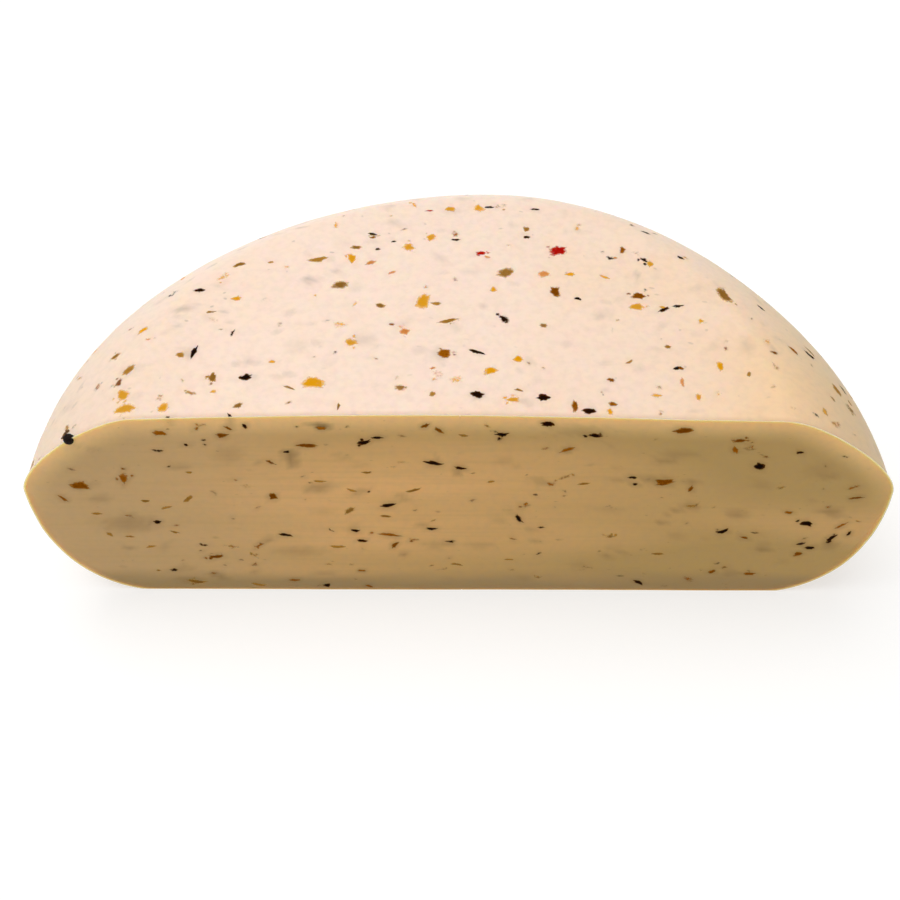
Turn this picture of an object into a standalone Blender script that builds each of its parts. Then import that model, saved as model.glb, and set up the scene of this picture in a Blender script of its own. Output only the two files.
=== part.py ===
"""Half a wheel of pressed cheese with cracked pepper and dried herbs through its paste.

The wheel lies on its flat base and is cut straight through its axis, with the cut face
towards -Y. Its rim is a rounded barrel: a broad shoulder above the widest height and a
tighter foot below it. The top has a low crown, and the wheel is a little out of round.
The larger flakes that show on the top, the rim and the cut stand slightly proud of the
cheese. Lengths are in metres, +Z is up, and the origin is the bottom centre of the half
wheel's box.
"""
import math
import random

import bmesh
import bpy
from mathutils import Matrix, Vector

MM = 0.001

# The wheel
WHEEL_RADIUS = 130 * MM
WHEEL_HEIGHT = 77.3 * MM
BELLY_HEIGHT = 48.4 * MM
SHOULDER_WIDTH = 26.7 * MM
SHOULDER_WIDENING = 9.6 * MM
FOOT_WIDTH = 34.8 * MM
# How full the two rounded corners are: 0 is a straight slope, 0.55 an ellipse
SHOULDER_FULLNESS = 0.34
FOOT_FULLNESS = 0.61
CROWN_RISE = 3.6 * MM
CROWN_REACH = 156 * MM
CROWN_CENTRE = (-17 * MM, 13 * MM)
# Lobes round the wheel, and the cosine and sine part of each one's swell
OUT_OF_ROUND = ((2, 0.2 * MM, -1.6 * MM), (3, -2.1 * MM, 0.8 * MM), (5, 0.8 * MM, 0.0))
# The wheel's axis, seen from the bottom centre of the half wheel's box
AXIS = Vector((1.5 * MM, -64.4 * MM, 0))

# The faces of the solid
SECTORS = 60
RIM_STEPS = 10
TOP_RINGS = (0.34, 0.68)
HALVINGS = 24
# A short way along a surface, to find how it slopes
NEAR = 0.5 * MM
SHARP_ANGLE = math.radians(25)

# The flakes
FLAKE_PROUD = 0.4 * MM
FLAKE_SUNK = 0.9 * MM
FLAKE_CORNERS = 6
# How far a corner reaches, as a share of the flake's half length or half width
CORNER_REACH = (0.78, 1.06)
FLAKE_TOP_SCALE = 0.72
FLAKE_GAP = 0.8 * MM
CORN_PROUD = 1.1 * MM
EDGE_MARGIN = 1.2 * MM

MATERIALS = {
    "cheese": ((0.83, 0.66, 0.44), 0.45),
    "black": ((0.012, 0.008, 0.006), 0.5),
    "brown": ((0.16, 0.06, 0.012), 0.6),
    "olive": ((0.23, 0.15, 0.035), 0.65),
    "yellow": ((0.62, 0.33, 0.03), 0.55),
    "salmon": ((0.63, 0.2, 0.07), 0.55),
    "red": ((0.42, 0.008, 0.006), 0.45),
}

# The flakes that stand out on the top and shoulder, in mm and degrees:
# x and y from the wheel's axis, length, width and turn
TOP_FLAKES = {
    "yellow": (
        (-43, 14, 7, 5, 0), (-97, 5, 7, 4, -10), (-99, 11, 5, 4, -39), (-86, 5, 4, 3, 60),
        (-17, 77, 4, 4, 0), (-10, 82, 4, 3, 60), (-35, 71, 5, 3, 90), (-12, 50, 7, 4, 80),
        (-33, 31, 4, 3, -34), (9, 19, 4, 3, 8), (15, 7, 4, 2, 0), (17, 24, 3, 3, 0),
        (54, 49, 5, 3, -3), (77, 23, 4, 2, 90), (-98, 41, 4, 3, 48),
    ),
    "olive": (
        (-99, 22, 5, 3, 46), (-71, 69, 4, 2, 23), (-73, 17, 4, 2, 90), (-46, 71, 7, 3, 7),
        (-38, 58, 6, 4, 15), (14, 64, 6, 5, 43), (-4, 41, 7, 2, 19), (82, 56, 8, 4, -73),
        (114, 26, 5, 3, -64),
    ),
    "brown": ((29, 55, 5, 3, 90), (55, 54, 5, 3, -6), (-5, 26, 4, 4, 0), (33, 5, 5, 2, 90)),
    "black": (
        (5, 9, 4, 3, 0), (24, 8, 4, 3, 0), (37, 3, 4, 2, 0), (5, 27, 5, 1.5, -21),
        (-80, 28, 6, 1.5, 80), (62, 48, 4, 1.5, 35), (107, 39, 4, 2, -30),
    ),
    "salmon": ((26, 64, 4, 4, 0), (-17, 36, 3, 3, 0), (65, 16, 4, 1.5, 90), (-29, 69, 4, 2, 23)),
    "red": ((31, 76, 6, 5, 17), (6, 74, 3, 2, 0)),
}
# The same on the cut, with x and the height z in place of x and y
CUT_FLAKES = {
    "black": (
        (-8, 61, 6, 2, -14), (0, 59, 4, 1.5, -12), (-22, 42, 5, 1.5, 12), (-28, 70, 4, 1.5, 15),
        (25, 78, 4, 2, -14), (106, 34, 4, 2, -15), (88, 60, 3, 3, 0), (81, 30, 4, 1.5, 24),
        (39, 73, 4, 1.5, -7), (115, 27, 4, 1.5, 60),
    ),
    "brown": (
        (-115, 51, 6, 4, 0), (-101, 54, 5, 3, 78), (-121, 45, 4, 1.5, -47), (-69, 73, 4, 2, 0),
        (-87, 74, 4, 2, 0), (-45, 69, 7, 2, 0), (64, 75, 6, 3, 0), (81, 71, 4, 1.5, 7),
        (61, 53, 6, 3, 0), (31, 67, 5, 1.5, 27), (-22, 28, 8, 1.5, -8), (-57, 46, 3, 3, -44),
        (-78, 17, 5, 1.5, 5), (92, 9, 4, 1.5, 0), (106, 19, 3, 2, 17),
    ),
    "olive": (
        (-83, 45, 4, 1.5, 47), (-39, 22, 5, 1.2, 0), (-14, 49, 5, 1.2, 22), (37, 52, 4, 1.2, 8),
        (62, 19, 4, 1.2, 0), (-86, 4, 7, 2, -8),
    ),
}
# A whole cracked peppercorn at the left end of the cut's top edge: x, y and width in mm
PEPPERCORN = (-114, 2.6, 3.6)
PLACED_SEED = 5

# The rest are drawn by chance, each surface with its own seed: how many, seed, and sizes in mm
TOP_SCATTER = {"count": 46, "seed": 11, "lengths": (2.2, 4.6), "widths": (0.35, 0.8)}
SIDE_SCATTER = {"count": 44, "seed": 23, "lengths": (2.4, 5.5), "widths": (0.3, 0.8)}
CUT_SCATTER = {"count": 32, "seed": 37, "lengths": (2.2, 4.8), "widths": (0.25, 0.5)}
OUTER_SHARES = (("yellow", 30), ("olive", 30), ("black", 22), ("brown", 14), ("salmon", 4))
CUT_SHARES = (("black", 36), ("brown", 34), ("olive", 30))
# Flakes on the cut are turned from level by about this many degrees
CUT_TURN = 22
# They keep this much higher, for each step out past the base's end
CUT_CORNER = 1.1
# Lowest and highest place on the rim, as rim_point's climb
SIDE_CLIMBS = (-0.7, 0.5)
# How far out the flakes of the top reach, as a share of the wheel's radius
TOP_REACH = 0.95


def swell(phi):
    """How much larger than round the wheel is in the direction phi."""
    parts = (c * math.cos(n * phi) + s * math.sin(n * phi) for n, c, s in OUT_OF_ROUND)
    return 1 + sum(parts) / WHEEL_RADIUS


def crown(x, y):
    """Height of the low crown on the top, at x and y from the axis."""
    away = math.hypot(x - CROWN_CENTRE[0], y - CROWN_CENTRE[1]) / CROWN_REACH
    return CROWN_RISE * math.cos(math.pi / 2 * min(1.0, away)) ** 2


def corner(step, fullness):
    """A rounded corner, from an upright side at (1, 0) to a level side at (0, 1)."""
    left = 1 - step
    out = left ** 3 + 3 * left ** 2 * step + 3 * left * step ** 2 * fullness
    up = 3 * left ** 2 * step * fullness + 3 * left * step ** 2 + step ** 3
    return out, up


def corner_step(out, fullness):
    """The step at which the corner is this far out."""
    low, high = 0.0, 1.0
    for _ in range(HALVINGS):
        middle = (low + high) / 2
        if corner(middle, fullness)[0] > out:
            low = middle
        else:
            high = middle
    return low


def shoulder_width(phi):
    """How far the rounded top edge reaches in from the rim: furthest at the cut's two ends."""
    return SHOULDER_WIDTH + SHOULDER_WIDENING * math.cos(phi) ** 2


def upper_point(phi, out, up):
    """A point on the shoulder, from how far out and up it is on the rounded corner."""
    width = shoulder_width(phi)
    radius = (WHEEL_RADIUS - width + width * out) * swell(phi)
    x, y = radius * math.cos(phi), radius * math.sin(phi)
    return Vector((x, y, BELLY_HEIGHT + (WHEEL_HEIGHT + crown(x, y) - BELLY_HEIGHT) * up))


def lower_point(phi, out, up):
    """The same on the foot."""
    radius = (WHEEL_RADIUS - FOOT_WIDTH + FOOT_WIDTH * out) * swell(phi)
    return Vector((radius * math.cos(phi), radius * math.sin(phi), BELLY_HEIGHT * (1 - up)))


def rim_point(phi, climb):
    """A point on the rim, where climb is -1 at the base, 0 at the belly and 1 at the top."""
    if climb > 0:
        return upper_point(phi, *corner(climb, SHOULDER_FULLNESS))
    return lower_point(phi, *corner(-climb, FOOT_FULLNESS))


def top_point(x, y):
    """A point on the top or shoulder, above x and y from the axis."""
    phi = math.atan2(y, x)
    width = shoulder_width(phi)
    out = (math.hypot(x, y) / swell(phi) - WHEEL_RADIUS + width) / width
    up = corner(corner_step(out, SHOULDER_FULLNESS), SHOULDER_FULLNESS)[1] if out > 0 else 1.0
    return Vector((x, y, BELLY_HEIGHT + (WHEEL_HEIGHT + crown(x, y) - BELLY_HEIGHT) * up))


def meridian(phi):
    """Points down one side, from the inner top over the rim to the base."""
    inner = WHEEL_RADIUS - shoulder_width(phi)
    points = []
    for share in TOP_RINGS:
        radius = inner * share * swell(phi)
        points.append(top_point(radius * math.cos(phi), radius * math.sin(phi)))
    climbs = [1 - step / RIM_STEPS for step in range(2 * RIM_STEPS + 1)]
    return points + [rim_point(phi, climb) for climb in climbs]


def half_wheel_mesh():
    """The plain half wheel: top, rim, base and one flat cut."""
    bm = bmesh.new()
    hub = bm.verts.new(AXIS + top_point(0, 0))
    lines = []
    for sector in range(SECTORS + 1):
        line = [bm.verts.new(AXIS + point) for point in meridian(math.pi * sector / SECTORS)]
        lines.append(line)
    for vertex in lines[0] + lines[-1]:
        vertex.co.y = AXIS.y
    for line, following in zip(lines, lines[1:]):
        bm.faces.new((hub, line[0], following[0]))
        for step in range(len(line) - 1):
            bm.faces.new((line[step], line[step + 1], following[step + 1], following[step]))
    bm.faces.new([line[-1] for line in reversed(lines)])
    bm.faces.new([hub] + lines[-1] + lines[0][::-1])
    bmesh.ops.recalc_face_normals(bm, faces=bm.faces[:])
    mesh = bpy.data.meshes.new("half_wheel")
    bm.to_mesh(mesh)
    bm.free()
    return mesh


def surface_frame(point, across, along, turn):
    """A flake's frame at a point: its length turned from the first direction, and up outwards."""
    normal = across.cross(along).normalized()
    length_way = Matrix.Rotation(math.radians(turn), 3, normal) @ across.normalized()
    width_way = normal.cross(length_way)
    frame = Matrix((length_way, width_way, normal)).transposed().to_4x4()
    frame.translation = AXIS + point
    return frame


def top_frame(x, y, turn):
    point = top_point(x, y)
    across = top_point(x + NEAR, y) - point
    along = top_point(x, y + NEAR) - point
    return surface_frame(point, across, along, turn)


def rim_frame(phi, climb, turn):
    point = rim_point(phi, climb)
    across = rim_point(phi + NEAR / WHEEL_RADIUS, climb) - point
    along = rim_point(phi, climb + NEAR / WHEEL_HEIGHT) - point
    return surface_frame(point, across, along, turn)


def cut_frame(x, z, turn):
    return surface_frame(Vector((x, 0, z)), Vector((1, 0, 0)), Vector((0, 0, 1)), turn)


def flake(kind, frame, length, width, chance, proud=FLAKE_PROUD):
    """One flat, crooked flake, sunk in the cheese up to its last fraction of a millimetre."""
    return {"kind": kind, "frame": frame, "length": length, "width": width, "proud": proud,
            "corners": [chance.uniform(*CORNER_REACH) for _ in range(FLAKE_CORNERS)]}


def clear_of_others(frame, length, flakes):
    return all((frame.translation - other["frame"].translation).length
               > (length + other["length"]) / 2 + FLAKE_GAP for other in flakes)


def placed_flakes():
    """The flakes whose places were chosen one by one."""
    chance = random.Random(PLACED_SEED)
    flakes = []
    for kind, rows in TOP_FLAKES.items():
        for x, y, length, width, turn in rows:
            frame = top_frame(x * MM, y * MM, turn)
            flakes.append(flake(kind, frame, length * MM, width * MM, chance))
    for kind, rows in CUT_FLAKES.items():
        for x, z, length, width, turn in rows:
            frame = cut_frame(x * MM, z * MM, turn)
            flakes.append(flake(kind, frame, length * MM, width * MM, chance))
    x, y, width = PEPPERCORN
    frame = top_frame(x * MM, y * MM, 0)
    flakes.append(flake("black", frame, width * MM, width * MM, chance, CORN_PROUD))
    return flakes


def scatter(flakes, settings, shares, draw_frame):
    """Add flakes by chance to a surface, each clear of those already there."""
    chance = random.Random(settings["seed"])
    kinds, weights = zip(*shares)
    wanted = len(flakes) + settings["count"]
    while len(flakes) < wanted:
        length = chance.uniform(*settings["lengths"]) * MM
        width = length * chance.uniform(*settings["widths"])
        kind = chance.choices(kinds, weights)[0]
        frame = draw_frame(chance, length)
        if frame is not None and clear_of_others(frame, length, flakes):
            flakes.append(flake(kind, frame, length, width, chance))


def draw_on_top(chance, length):
    """A place on the top or shoulder, clear of the cut's edge."""
    radius = TOP_REACH * WHEEL_RADIUS * math.sqrt(chance.random())
    phi = chance.uniform(0, math.pi)
    x, y = radius * math.cos(phi), radius * math.sin(phi)
    turn = chance.uniform(0, 180)
    return top_frame(x, y, turn) if y > length / 2 + EDGE_MARGIN else None


def draw_on_side(chance, length):
    """A place on the rim, from a little above the base to half way up the shoulder."""
    phi = chance.uniform(0, math.pi)
    climb = chance.uniform(*SIDE_CLIMBS)
    turn = chance.uniform(0, 180)
    margin = (length / 2 + EDGE_MARGIN) / WHEEL_RADIUS
    return rim_frame(phi, climb, turn) if margin < phi < math.pi - margin else None


def draw_on_cut(chance, length):
    """A place on the cut, where the flakes lie nearly level, clear of its outline."""
    x = chance.uniform(-1, 1) * WHEEL_RADIUS
    z = chance.uniform(0, 1) * WHEEL_HEIGHT
    turn = chance.gauss(0, CUT_TURN)
    margin = length / 2 + EDGE_MARGIN
    lowest = margin + CUT_CORNER * max(0.0, abs(x) - WHEEL_RADIUS + FOOT_WIDTH)
    inside = lowest < z < top_point(x, 0).z - margin and abs(x) < WHEEL_RADIUS - 3 * margin
    return cut_frame(x, z, turn) if inside else None


def flake_object(item, materials):
    """A flake as a closed, six-cornered block that narrows towards its face."""
    bm = bmesh.new()
    rings = []
    for scale, height in ((1.0, -FLAKE_SUNK), (FLAKE_TOP_SCALE, item["proud"])):
        ring = []
        for number, reach in enumerate(item["corners"]):
            turn = 2 * math.pi * number / FLAKE_CORNERS
            x = item["length"] / 2 * reach * scale * math.cos(turn)
            y = item["width"] / 2 * reach * scale * math.sin(turn)
            ring.append(bm.verts.new((x, y, height)))
        rings.append(ring)
    low, high = rings
    bm.faces.new(low[::-1])
    bm.faces.new(high)
    for number in range(FLAKE_CORNERS):
        after = (number + 1) % FLAKE_CORNERS
        bm.faces.new((low[number], low[after], high[after], high[number]))
    bm.transform(item["frame"])
    mesh = bpy.data.meshes.new("flake")
    bm.to_mesh(mesh)
    bm.free()
    give_materials(mesh, materials, item["kind"])
    return bpy.data.objects.new("flake", mesh)


def make_materials():
    materials = {}
    for name, (colour, roughness) in MATERIALS.items():
        material = bpy.data.materials.new(name)
        material.use_nodes = True
        shader = material.node_tree.nodes["Principled BSDF"]
        shader.inputs["Base Color"].default_value = (*colour, 1)
        shader.inputs["Roughness"].default_value = roughness
        shader.inputs["Metallic"].default_value = 0.0
        materials[name] = material
    return materials


def give_materials(mesh, materials, kind):
    """Every mesh has all the materials in one order, so that a union keeps each face's own."""
    for material in materials.values():
        mesh.materials.append(material)
    index = list(materials).index(kind)
    mesh.polygons.foreach_set("material_index", [index] * len(mesh.polygons))


def fuse(body, flakes, materials):
    """Join the flakes to the cheese with one union, and take their own objects away."""
    group = bpy.data.collections.new("flakes")
    bpy.context.scene.collection.children.link(group)
    for item in flakes:
        group.objects.link(flake_object(item, materials))
    union = body.modifiers.new("flakes", "BOOLEAN")
    union.operation = "UNION"
    union.operand_type = "COLLECTION"
    union.collection = group
    union.solver = "EXACT"
    bpy.context.view_layer.update()
    fused = bpy.data.meshes.new_from_object(body.evaluated_get(bpy.context.evaluated_depsgraph_get()))
    body.modifiers.remove(union)
    body.data = fused
    for item in list(group.objects):
        bpy.data.objects.remove(item, do_unlink=True)
    bpy.data.collections.remove(group)


def build():
    for item in list(bpy.data.objects):
        bpy.data.objects.remove(item, do_unlink=True)
    materials = make_materials()
    mesh = half_wheel_mesh()
    give_materials(mesh, materials, "cheese")
    body = bpy.data.objects.new("half_wheel", mesh)
    bpy.context.scene.collection.objects.link(body)
    flakes = placed_flakes()
    scatter(flakes, TOP_SCATTER, OUTER_SHARES, draw_on_top)
    scatter(flakes, SIDE_SCATTER, OUTER_SHARES, draw_on_side)
    scatter(flakes, CUT_SCATTER, CUT_SHARES, draw_on_cut)
    fuse(body, flakes, materials)
    body.data.shade_smooth()
    body.data.set_sharp_from_angle(angle=SHARP_ANGLE)


build()
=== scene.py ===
"""Half a wheel of pepper and herb cheese, lying on its base with the cut towards the viewer.

The file is laid out as an add-on. Each operator makes one piece or one group of like pieces,
and main() calls them in order. Lengths are in metres, +Z is up, and the cut faces -Y.
"""
import math
import random

import bmesh
import bpy
from bpy.props import EnumProperty, FloatProperty, FloatVectorProperty, PointerProperty
from mathutils import Matrix, Vector, noise
from mathutils.bvhtree import BVHTree
from mathutils.kdtree import KDTree


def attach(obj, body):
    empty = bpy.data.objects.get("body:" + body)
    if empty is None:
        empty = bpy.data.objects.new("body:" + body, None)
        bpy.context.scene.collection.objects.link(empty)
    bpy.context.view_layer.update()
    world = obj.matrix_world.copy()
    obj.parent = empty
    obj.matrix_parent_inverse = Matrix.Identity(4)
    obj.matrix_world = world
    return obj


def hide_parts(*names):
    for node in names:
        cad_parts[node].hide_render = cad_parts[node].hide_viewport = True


bl_info = {
    "name": "Pepper Cheese Half Wheel",
    "version": (1, 0, 0),
    "blender": (4, 5, 0),
    "location": "View3D > Sidebar > Pepper Cheese",
    "description": "Makes half a wheel of pressed cheese with pepper and herbs in its paste",
    "category": "Add Mesh",
}

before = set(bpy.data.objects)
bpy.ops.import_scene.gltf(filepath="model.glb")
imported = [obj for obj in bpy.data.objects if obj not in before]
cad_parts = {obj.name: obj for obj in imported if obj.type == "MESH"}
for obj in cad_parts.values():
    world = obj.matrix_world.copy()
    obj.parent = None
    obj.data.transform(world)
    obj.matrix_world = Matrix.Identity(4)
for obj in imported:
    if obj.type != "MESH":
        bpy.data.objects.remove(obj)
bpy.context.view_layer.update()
NODE = "half_wheel"

MM = 0.001

# The wheel, as its solid is made
WHEEL_RADIUS = 130 * MM
WHEEL_HEIGHT = 77.3 * MM
BELLY_HEIGHT = 48.4 * MM
SHOULDER_WIDTH = 26.7 * MM
SHOULDER_WIDENING = 9.6 * MM
FOOT_WIDTH = 34.8 * MM
# How full the two rounded corners are: 0 is a straight slope, 0.55 an ellipse
SHOULDER_FULLNESS = 0.34
FOOT_FULLNESS = 0.61
CROWN_RISE = 3.6 * MM
CROWN_REACH = 156 * MM
CROWN_CENTRE = (-17 * MM, 13 * MM)
# Lobes round the wheel, and the cosine and sine part of each one's swell
OUT_OF_ROUND = ((2, 0.2 * MM, -1.6 * MM), (3, -2.1 * MM, 0.8 * MM), (5, 0.8 * MM, 0.0))
# The wheel's axis, seen from the bottom centre of the half wheel's box
AXIS = Vector((1.5 * MM, -64.4 * MM, 0))
HALVINGS = 24
NEAR = 0.5 * MM
SHARP_ANGLE = math.radians(50)
# Added to the depths noted on the cut, so that only the rind has none
CUT_MARK = 1 * MM

# The cheese's mesh
SECTORS = 330
# Share by which the sectors beside the cut are narrower than the mean
SECTOR_CROWDING = 0.88
TOP_RINGS = 62
# Rings crowd towards the axis by this power, so that the cut's edge stays even there
RING_CROWDING = 1.55
SHOULDER_RINGS = 34
FOOT_RINGS = 32
CUT_LEVELS = 64
BASE_GAP = 0.12 * MM

# The flakes that the solid has too
FLAKE_CORNERS = 6
CORNER_REACH = (0.78, 1.06)
FLAKE_GAP = 0.8 * MM
EDGE_MARGIN = 1.2 * MM

# The flakes that stand out on the top and shoulder, in mm and degrees:
# x and y from the wheel's axis, length, width and turn
TOP_FLAKES = {
    "yellow": (
        (-43, 14, 7, 5, 0), (-97, 5, 7, 4, -10), (-99, 11, 5, 4, -39), (-86, 5, 4, 3, 60),
        (-17, 77, 4, 4, 0), (-10, 82, 4, 3, 60), (-35, 71, 5, 3, 90), (-12, 50, 7, 4, 80),
        (-33, 31, 4, 3, -34), (9, 19, 4, 3, 8), (15, 7, 4, 2, 0), (17, 24, 3, 3, 0),
        (54, 49, 5, 3, -3), (77, 23, 4, 2, 90), (-98, 41, 4, 3, 48),
    ),
    "olive": (
        (-99, 22, 5, 3, 46), (-71, 69, 4, 2, 23), (-73, 17, 4, 2, 90), (-46, 71, 7, 3, 7),
        (-38, 58, 6, 4, 15), (14, 64, 6, 5, 43), (-4, 41, 7, 2, 19), (82, 56, 8, 4, -73),
        (114, 26, 5, 3, -64),
    ),
    "brown": ((29, 55, 5, 3, 90), (55, 54, 5, 3, -6), (-5, 26, 4, 4, 0), (33, 5, 5, 2, 90)),
    "black": (
        (5, 9, 4, 3, 0), (24, 8, 4, 3, 0), (37, 3, 4, 2, 0), (5, 27, 5, 1.5, -21),
        (-80, 28, 6, 1.5, 80), (62, 48, 4, 1.5, 35), (107, 39, 4, 2, -30),
    ),
    "salmon": ((26, 64, 4, 4, 0), (-17, 36, 3, 3, 0), (65, 16, 4, 1.5, 90), (-29, 69, 4, 2, 23)),
    "red": ((31, 76, 6, 5, 17), (6, 74, 3, 2, 0)),
}
# The same on the cut, with x and the height z in place of x and y
CUT_FLAKES = {
    "black": (
        (-8, 61, 6, 2, -14), (0, 59, 4, 1.5, -12), (-22, 42, 5, 1.5, 12), (-28, 70, 4, 1.5, 15),
        (25, 78, 4, 2, -14), (106, 34, 4, 2, -15), (88, 60, 3, 3, 0), (81, 30, 4, 1.5, 24),
        (39, 73, 4, 1.5, -7), (115, 27, 4, 1.5, 60),
    ),
    "brown": (
        (-115, 51, 6, 4, 0), (-101, 54, 5, 3, 78), (-121, 45, 4, 1.5, -47), (-69, 73, 4, 2, 0),
        (-87, 74, 4, 2, 0), (-45, 69, 7, 2, 0), (64, 75, 6, 3, 0), (81, 71, 4, 1.5, 7),
        (61, 53, 6, 3, 0), (31, 67, 5, 1.5, 27), (-22, 28, 8, 1.5, -8), (-57, 46, 3, 3, -44),
        (-78, 17, 5, 1.5, 5), (92, 9, 4, 1.5, 0), (106, 19, 3, 2, 17),
    ),
    "olive": (
        (-83, 45, 4, 1.5, 47), (-39, 22, 5, 1.2, 0), (-14, 49, 5, 1.2, 22), (37, 52, 4, 1.2, 8),
        (62, 19, 4, 1.2, 0), (-86, 4, 7, 2, -8),
    ),
}
# A whole cracked peppercorn at the left end of the cut's top edge: x, y and width in mm
PEPPERCORN = (-114, 2.6, 3.6)
PLACED_SEED = 5

# The rest are drawn by chance, each surface with its own seed: how many, seed, and sizes in mm
TOP_SCATTER = {"count": 46, "seed": 11, "lengths": (2.2, 4.6), "widths": (0.35, 0.8)}
SIDE_SCATTER = {"count": 44, "seed": 23, "lengths": (2.4, 5.5), "widths": (0.3, 0.8)}
CUT_SCATTER = {"count": 32, "seed": 37, "lengths": (2.2, 4.8), "widths": (0.25, 0.5)}
OUTER_SHARES = (("yellow", 30), ("olive", 30), ("black", 22), ("brown", 14), ("salmon", 4))
CUT_SHARES = (("black", 36), ("brown", 34), ("olive", 30))
CUT_TURN = 22
CUT_CORNER = 1.1
SIDE_CLIMBS = (-0.7, 0.5)
TOP_REACH = 0.95

# Finer pieces, too small for the solid, in the same form
FINE_TOP = {
    "yellow": (
        (34, 64, 3, 2, 0), (10, 56, 2.5, 2, 90), (60, 70, 3, 2, 90), (69, 10, 2.8, 1.6, 90),
        (43, 3, 2.4, 1.6, 90), (57, 10, 3.2, 1.4, 0), (-4, 98, 3.4, 2.4, 0), (-70, 52, 3.4, 2.4, 14),
        (-56, 23, 2, 1.2, 0), (45, 63, 3.5, 1.2, -30), (62, 49, 2, 1, 0), (-72, 11, 1.6, 1.2, 0),
    ),
    "olive": (
        (-84, 27, 2.4, 2.2, 0), (-64, 5, 3, 2, 40), (-34, 77, 3.6, 1.8, 0), (-25, 48, 3, 1.8, -29),
        (-8, 9, 2, 1.6, 90), (17, 11, 2.8, 1, -13), (-8, 49, 3.4, 2, 0), (21, 87, 2.6, 2, 90),
        (62, 31, 2.1, 1.5, 0), (-35, 4, 3, 1, 90), (25, 39, 2.2, 1.8, 0), (-77, 46, 3, 1, 5),
        (50, 24, 3, 1, 40), (-50, 12, 4, 0.9, -25), (-61, 70, 1.8, 1, 0), (85, 20, 2, 1, 80),
        (108, 42, 5, 1.2, -50), (118, 24, 2, 1.2, -60), (111, 19, 2, 1.1, -50),
    ),
    "brown": (
        (44, 16, 2.1, 1.5, 0), (44, 6, 2.4, 1.8, 0), (101, 36, 4.6, 1.8, -48), (65, 22, 2, 1.4, 0),
        (-21, 39, 1.4, 1, 0), (-29, 82, 2, 1, 0),
    ),
    "black": (
        (70, 74, 2.4, 1.4, -31), (64, 22, 2.4, 1.3, 28), (36, 52, 2, 1.3, 0), (9, 99, 3, 1.2, 0),
        (60, 88, 3, 1.3, -20), (-27, 76, 1.5, 1, 0), (-22, 80, 1.4, 0.8, 0), (21, 83, 2, 1.4, 0),
        (-66, 1, 2.6, 0.9, -50), (-84, 1, 1, 0.6, 0), (24, 98, 3, 0.9, 0), (-2, 81, 3, 0.9, 0),
        (117, 30, 4, 1.3, -62), (94, 56, 3, 1.1, -45), (-29, 84, 3, 1.2, -10),
    ),
    "salmon": ((8, 72, 2, 1, -30), (-22, 64, 2.6, 1, 30), (49, 73, 1.2, 0.8, 0)),
    "red": ((-11, 97, 3, 1, 0),),
}
FINE_CUT = {
    "black": (
        (-24, 72, 3.5, 1, 0), (-33, 30, 2.8, 1.2, -8), (-31, 25, 3.1, 1.3, -5), (-94, 34, 2.2, 1.6, 0),
        (-44, 2.4, 2.3, 1.8, 0), (51, 55, 2.7, 1, 0), (57, 4.4, 3.8, 1.3, -35), (109, 22, 3.1, 1.2, 0),
        (-9, 31, 3.7, 1.1, 0), (99, 66, 2, 1, 0), (-80, 69, 1, 0.9, 0), (52, 52, 1.4, 1, 0),
        (-51, 66, 1.6, 1, 0), (106, 24, 3, 1, 20), (120, 29, 2.4, 0.9, 70), (-62, 77, 2, 1.2, -60),
    ),
    "brown": (
        (-21, 23, 4, 1.6, 60), (119, 46, 5, 1, 11), (117, 33, 5.2, 1, 40), (80, 67, 3.2, 1.6, -60),
        (80, 10, 2.6, 1.4, 32), (69, 50, 3, 1.3, 75), (-10, 77, 3.1, 1.4, 27), (-6, 75, 3.2, 1.5, -40),
        (88, 27, 2.8, 1.2, -28), (100, 39, 2.4, 1.4, 0), (-30, 2, 2.4, 1, -20), (-54, 5, 4, 1, 0),
        (-67, 76, 2.8, 1, -35), (60, 52, 4, 1, 8), (-40, 76, 3, 1.2, 0), (-32, 10, 3, 1, 0),
    ),
    "olive": (
        (-96, 44, 3, 1.2, 0), (-90, 41, 3.4, 1.2, 21), (-112, 38, 3.4, 1, 0), (-23, 37, 3.7, 1, -8),
        (-110, 28, 2.4, 1.5, -47), (1, 73, 2.9, 1, 0), (15, 16, 3.2, 0.9, 0), (-66, 2.5, 4.5, 1.2, -16),
        (-33, 49, 3.1, 1, -30), (-42, 53, 4, 1, 0), (-104, 27, 3, 0.9, 0), (-98, 22, 3.4, 1, 15),
        (-81, 57, 2, 0.8, 0), (9, 53, 2, 0.8, 20), (70, 42, 3, 0.8, 0), (-28, 57, 3, 0.9, 0),
    ),
}
FINE_SEED = 71
FINE_SCATTERS = (
    ("top", {"count": 60, "seed": 83, "lengths": (0.7, 2.3), "widths": (0.3, 0.8)}),
    ("side", {"count": 130, "seed": 89, "lengths": (0.8, 2.8), "widths": (0.25, 0.8)}),
    ("cut", {"count": 90, "seed": 97, "lengths": (0.6, 2.4), "widths": (0.25, 0.6)}),
    ("base", {"count": 70, "seed": 101, "lengths": (1.0, 4.5), "widths": (0.3, 0.8)}),
)
FINE_GAP = 0.3 * MM
CRUMB_SEED = 29
# Which share of the larger flakes has crumbs, and how many crumbs one has at most
CRUMB_SHARE = 0.4
MOST_CRUMBS = 3
# How far off they lie, as shares of the flake's length and width, and their sizes in mm
CRUMBS_ALONG = (0.5, 0.8)
CRUMBS_ACROSS = (0.6, 1.1)
CRUMB_LENGTHS = (0.5, 1.3)
CRUMB_WIDTHS = (0.4, 0.9)
# How deep flakes are sunk: 0 lies in the surface and 1 hardly shows
LISTED_DEPTHS = (0.0, 0.22)
SCATTERED_DEPTHS = (0.2, 0.9)
FINE_DEPTHS = (0.45, 0.98)

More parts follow.
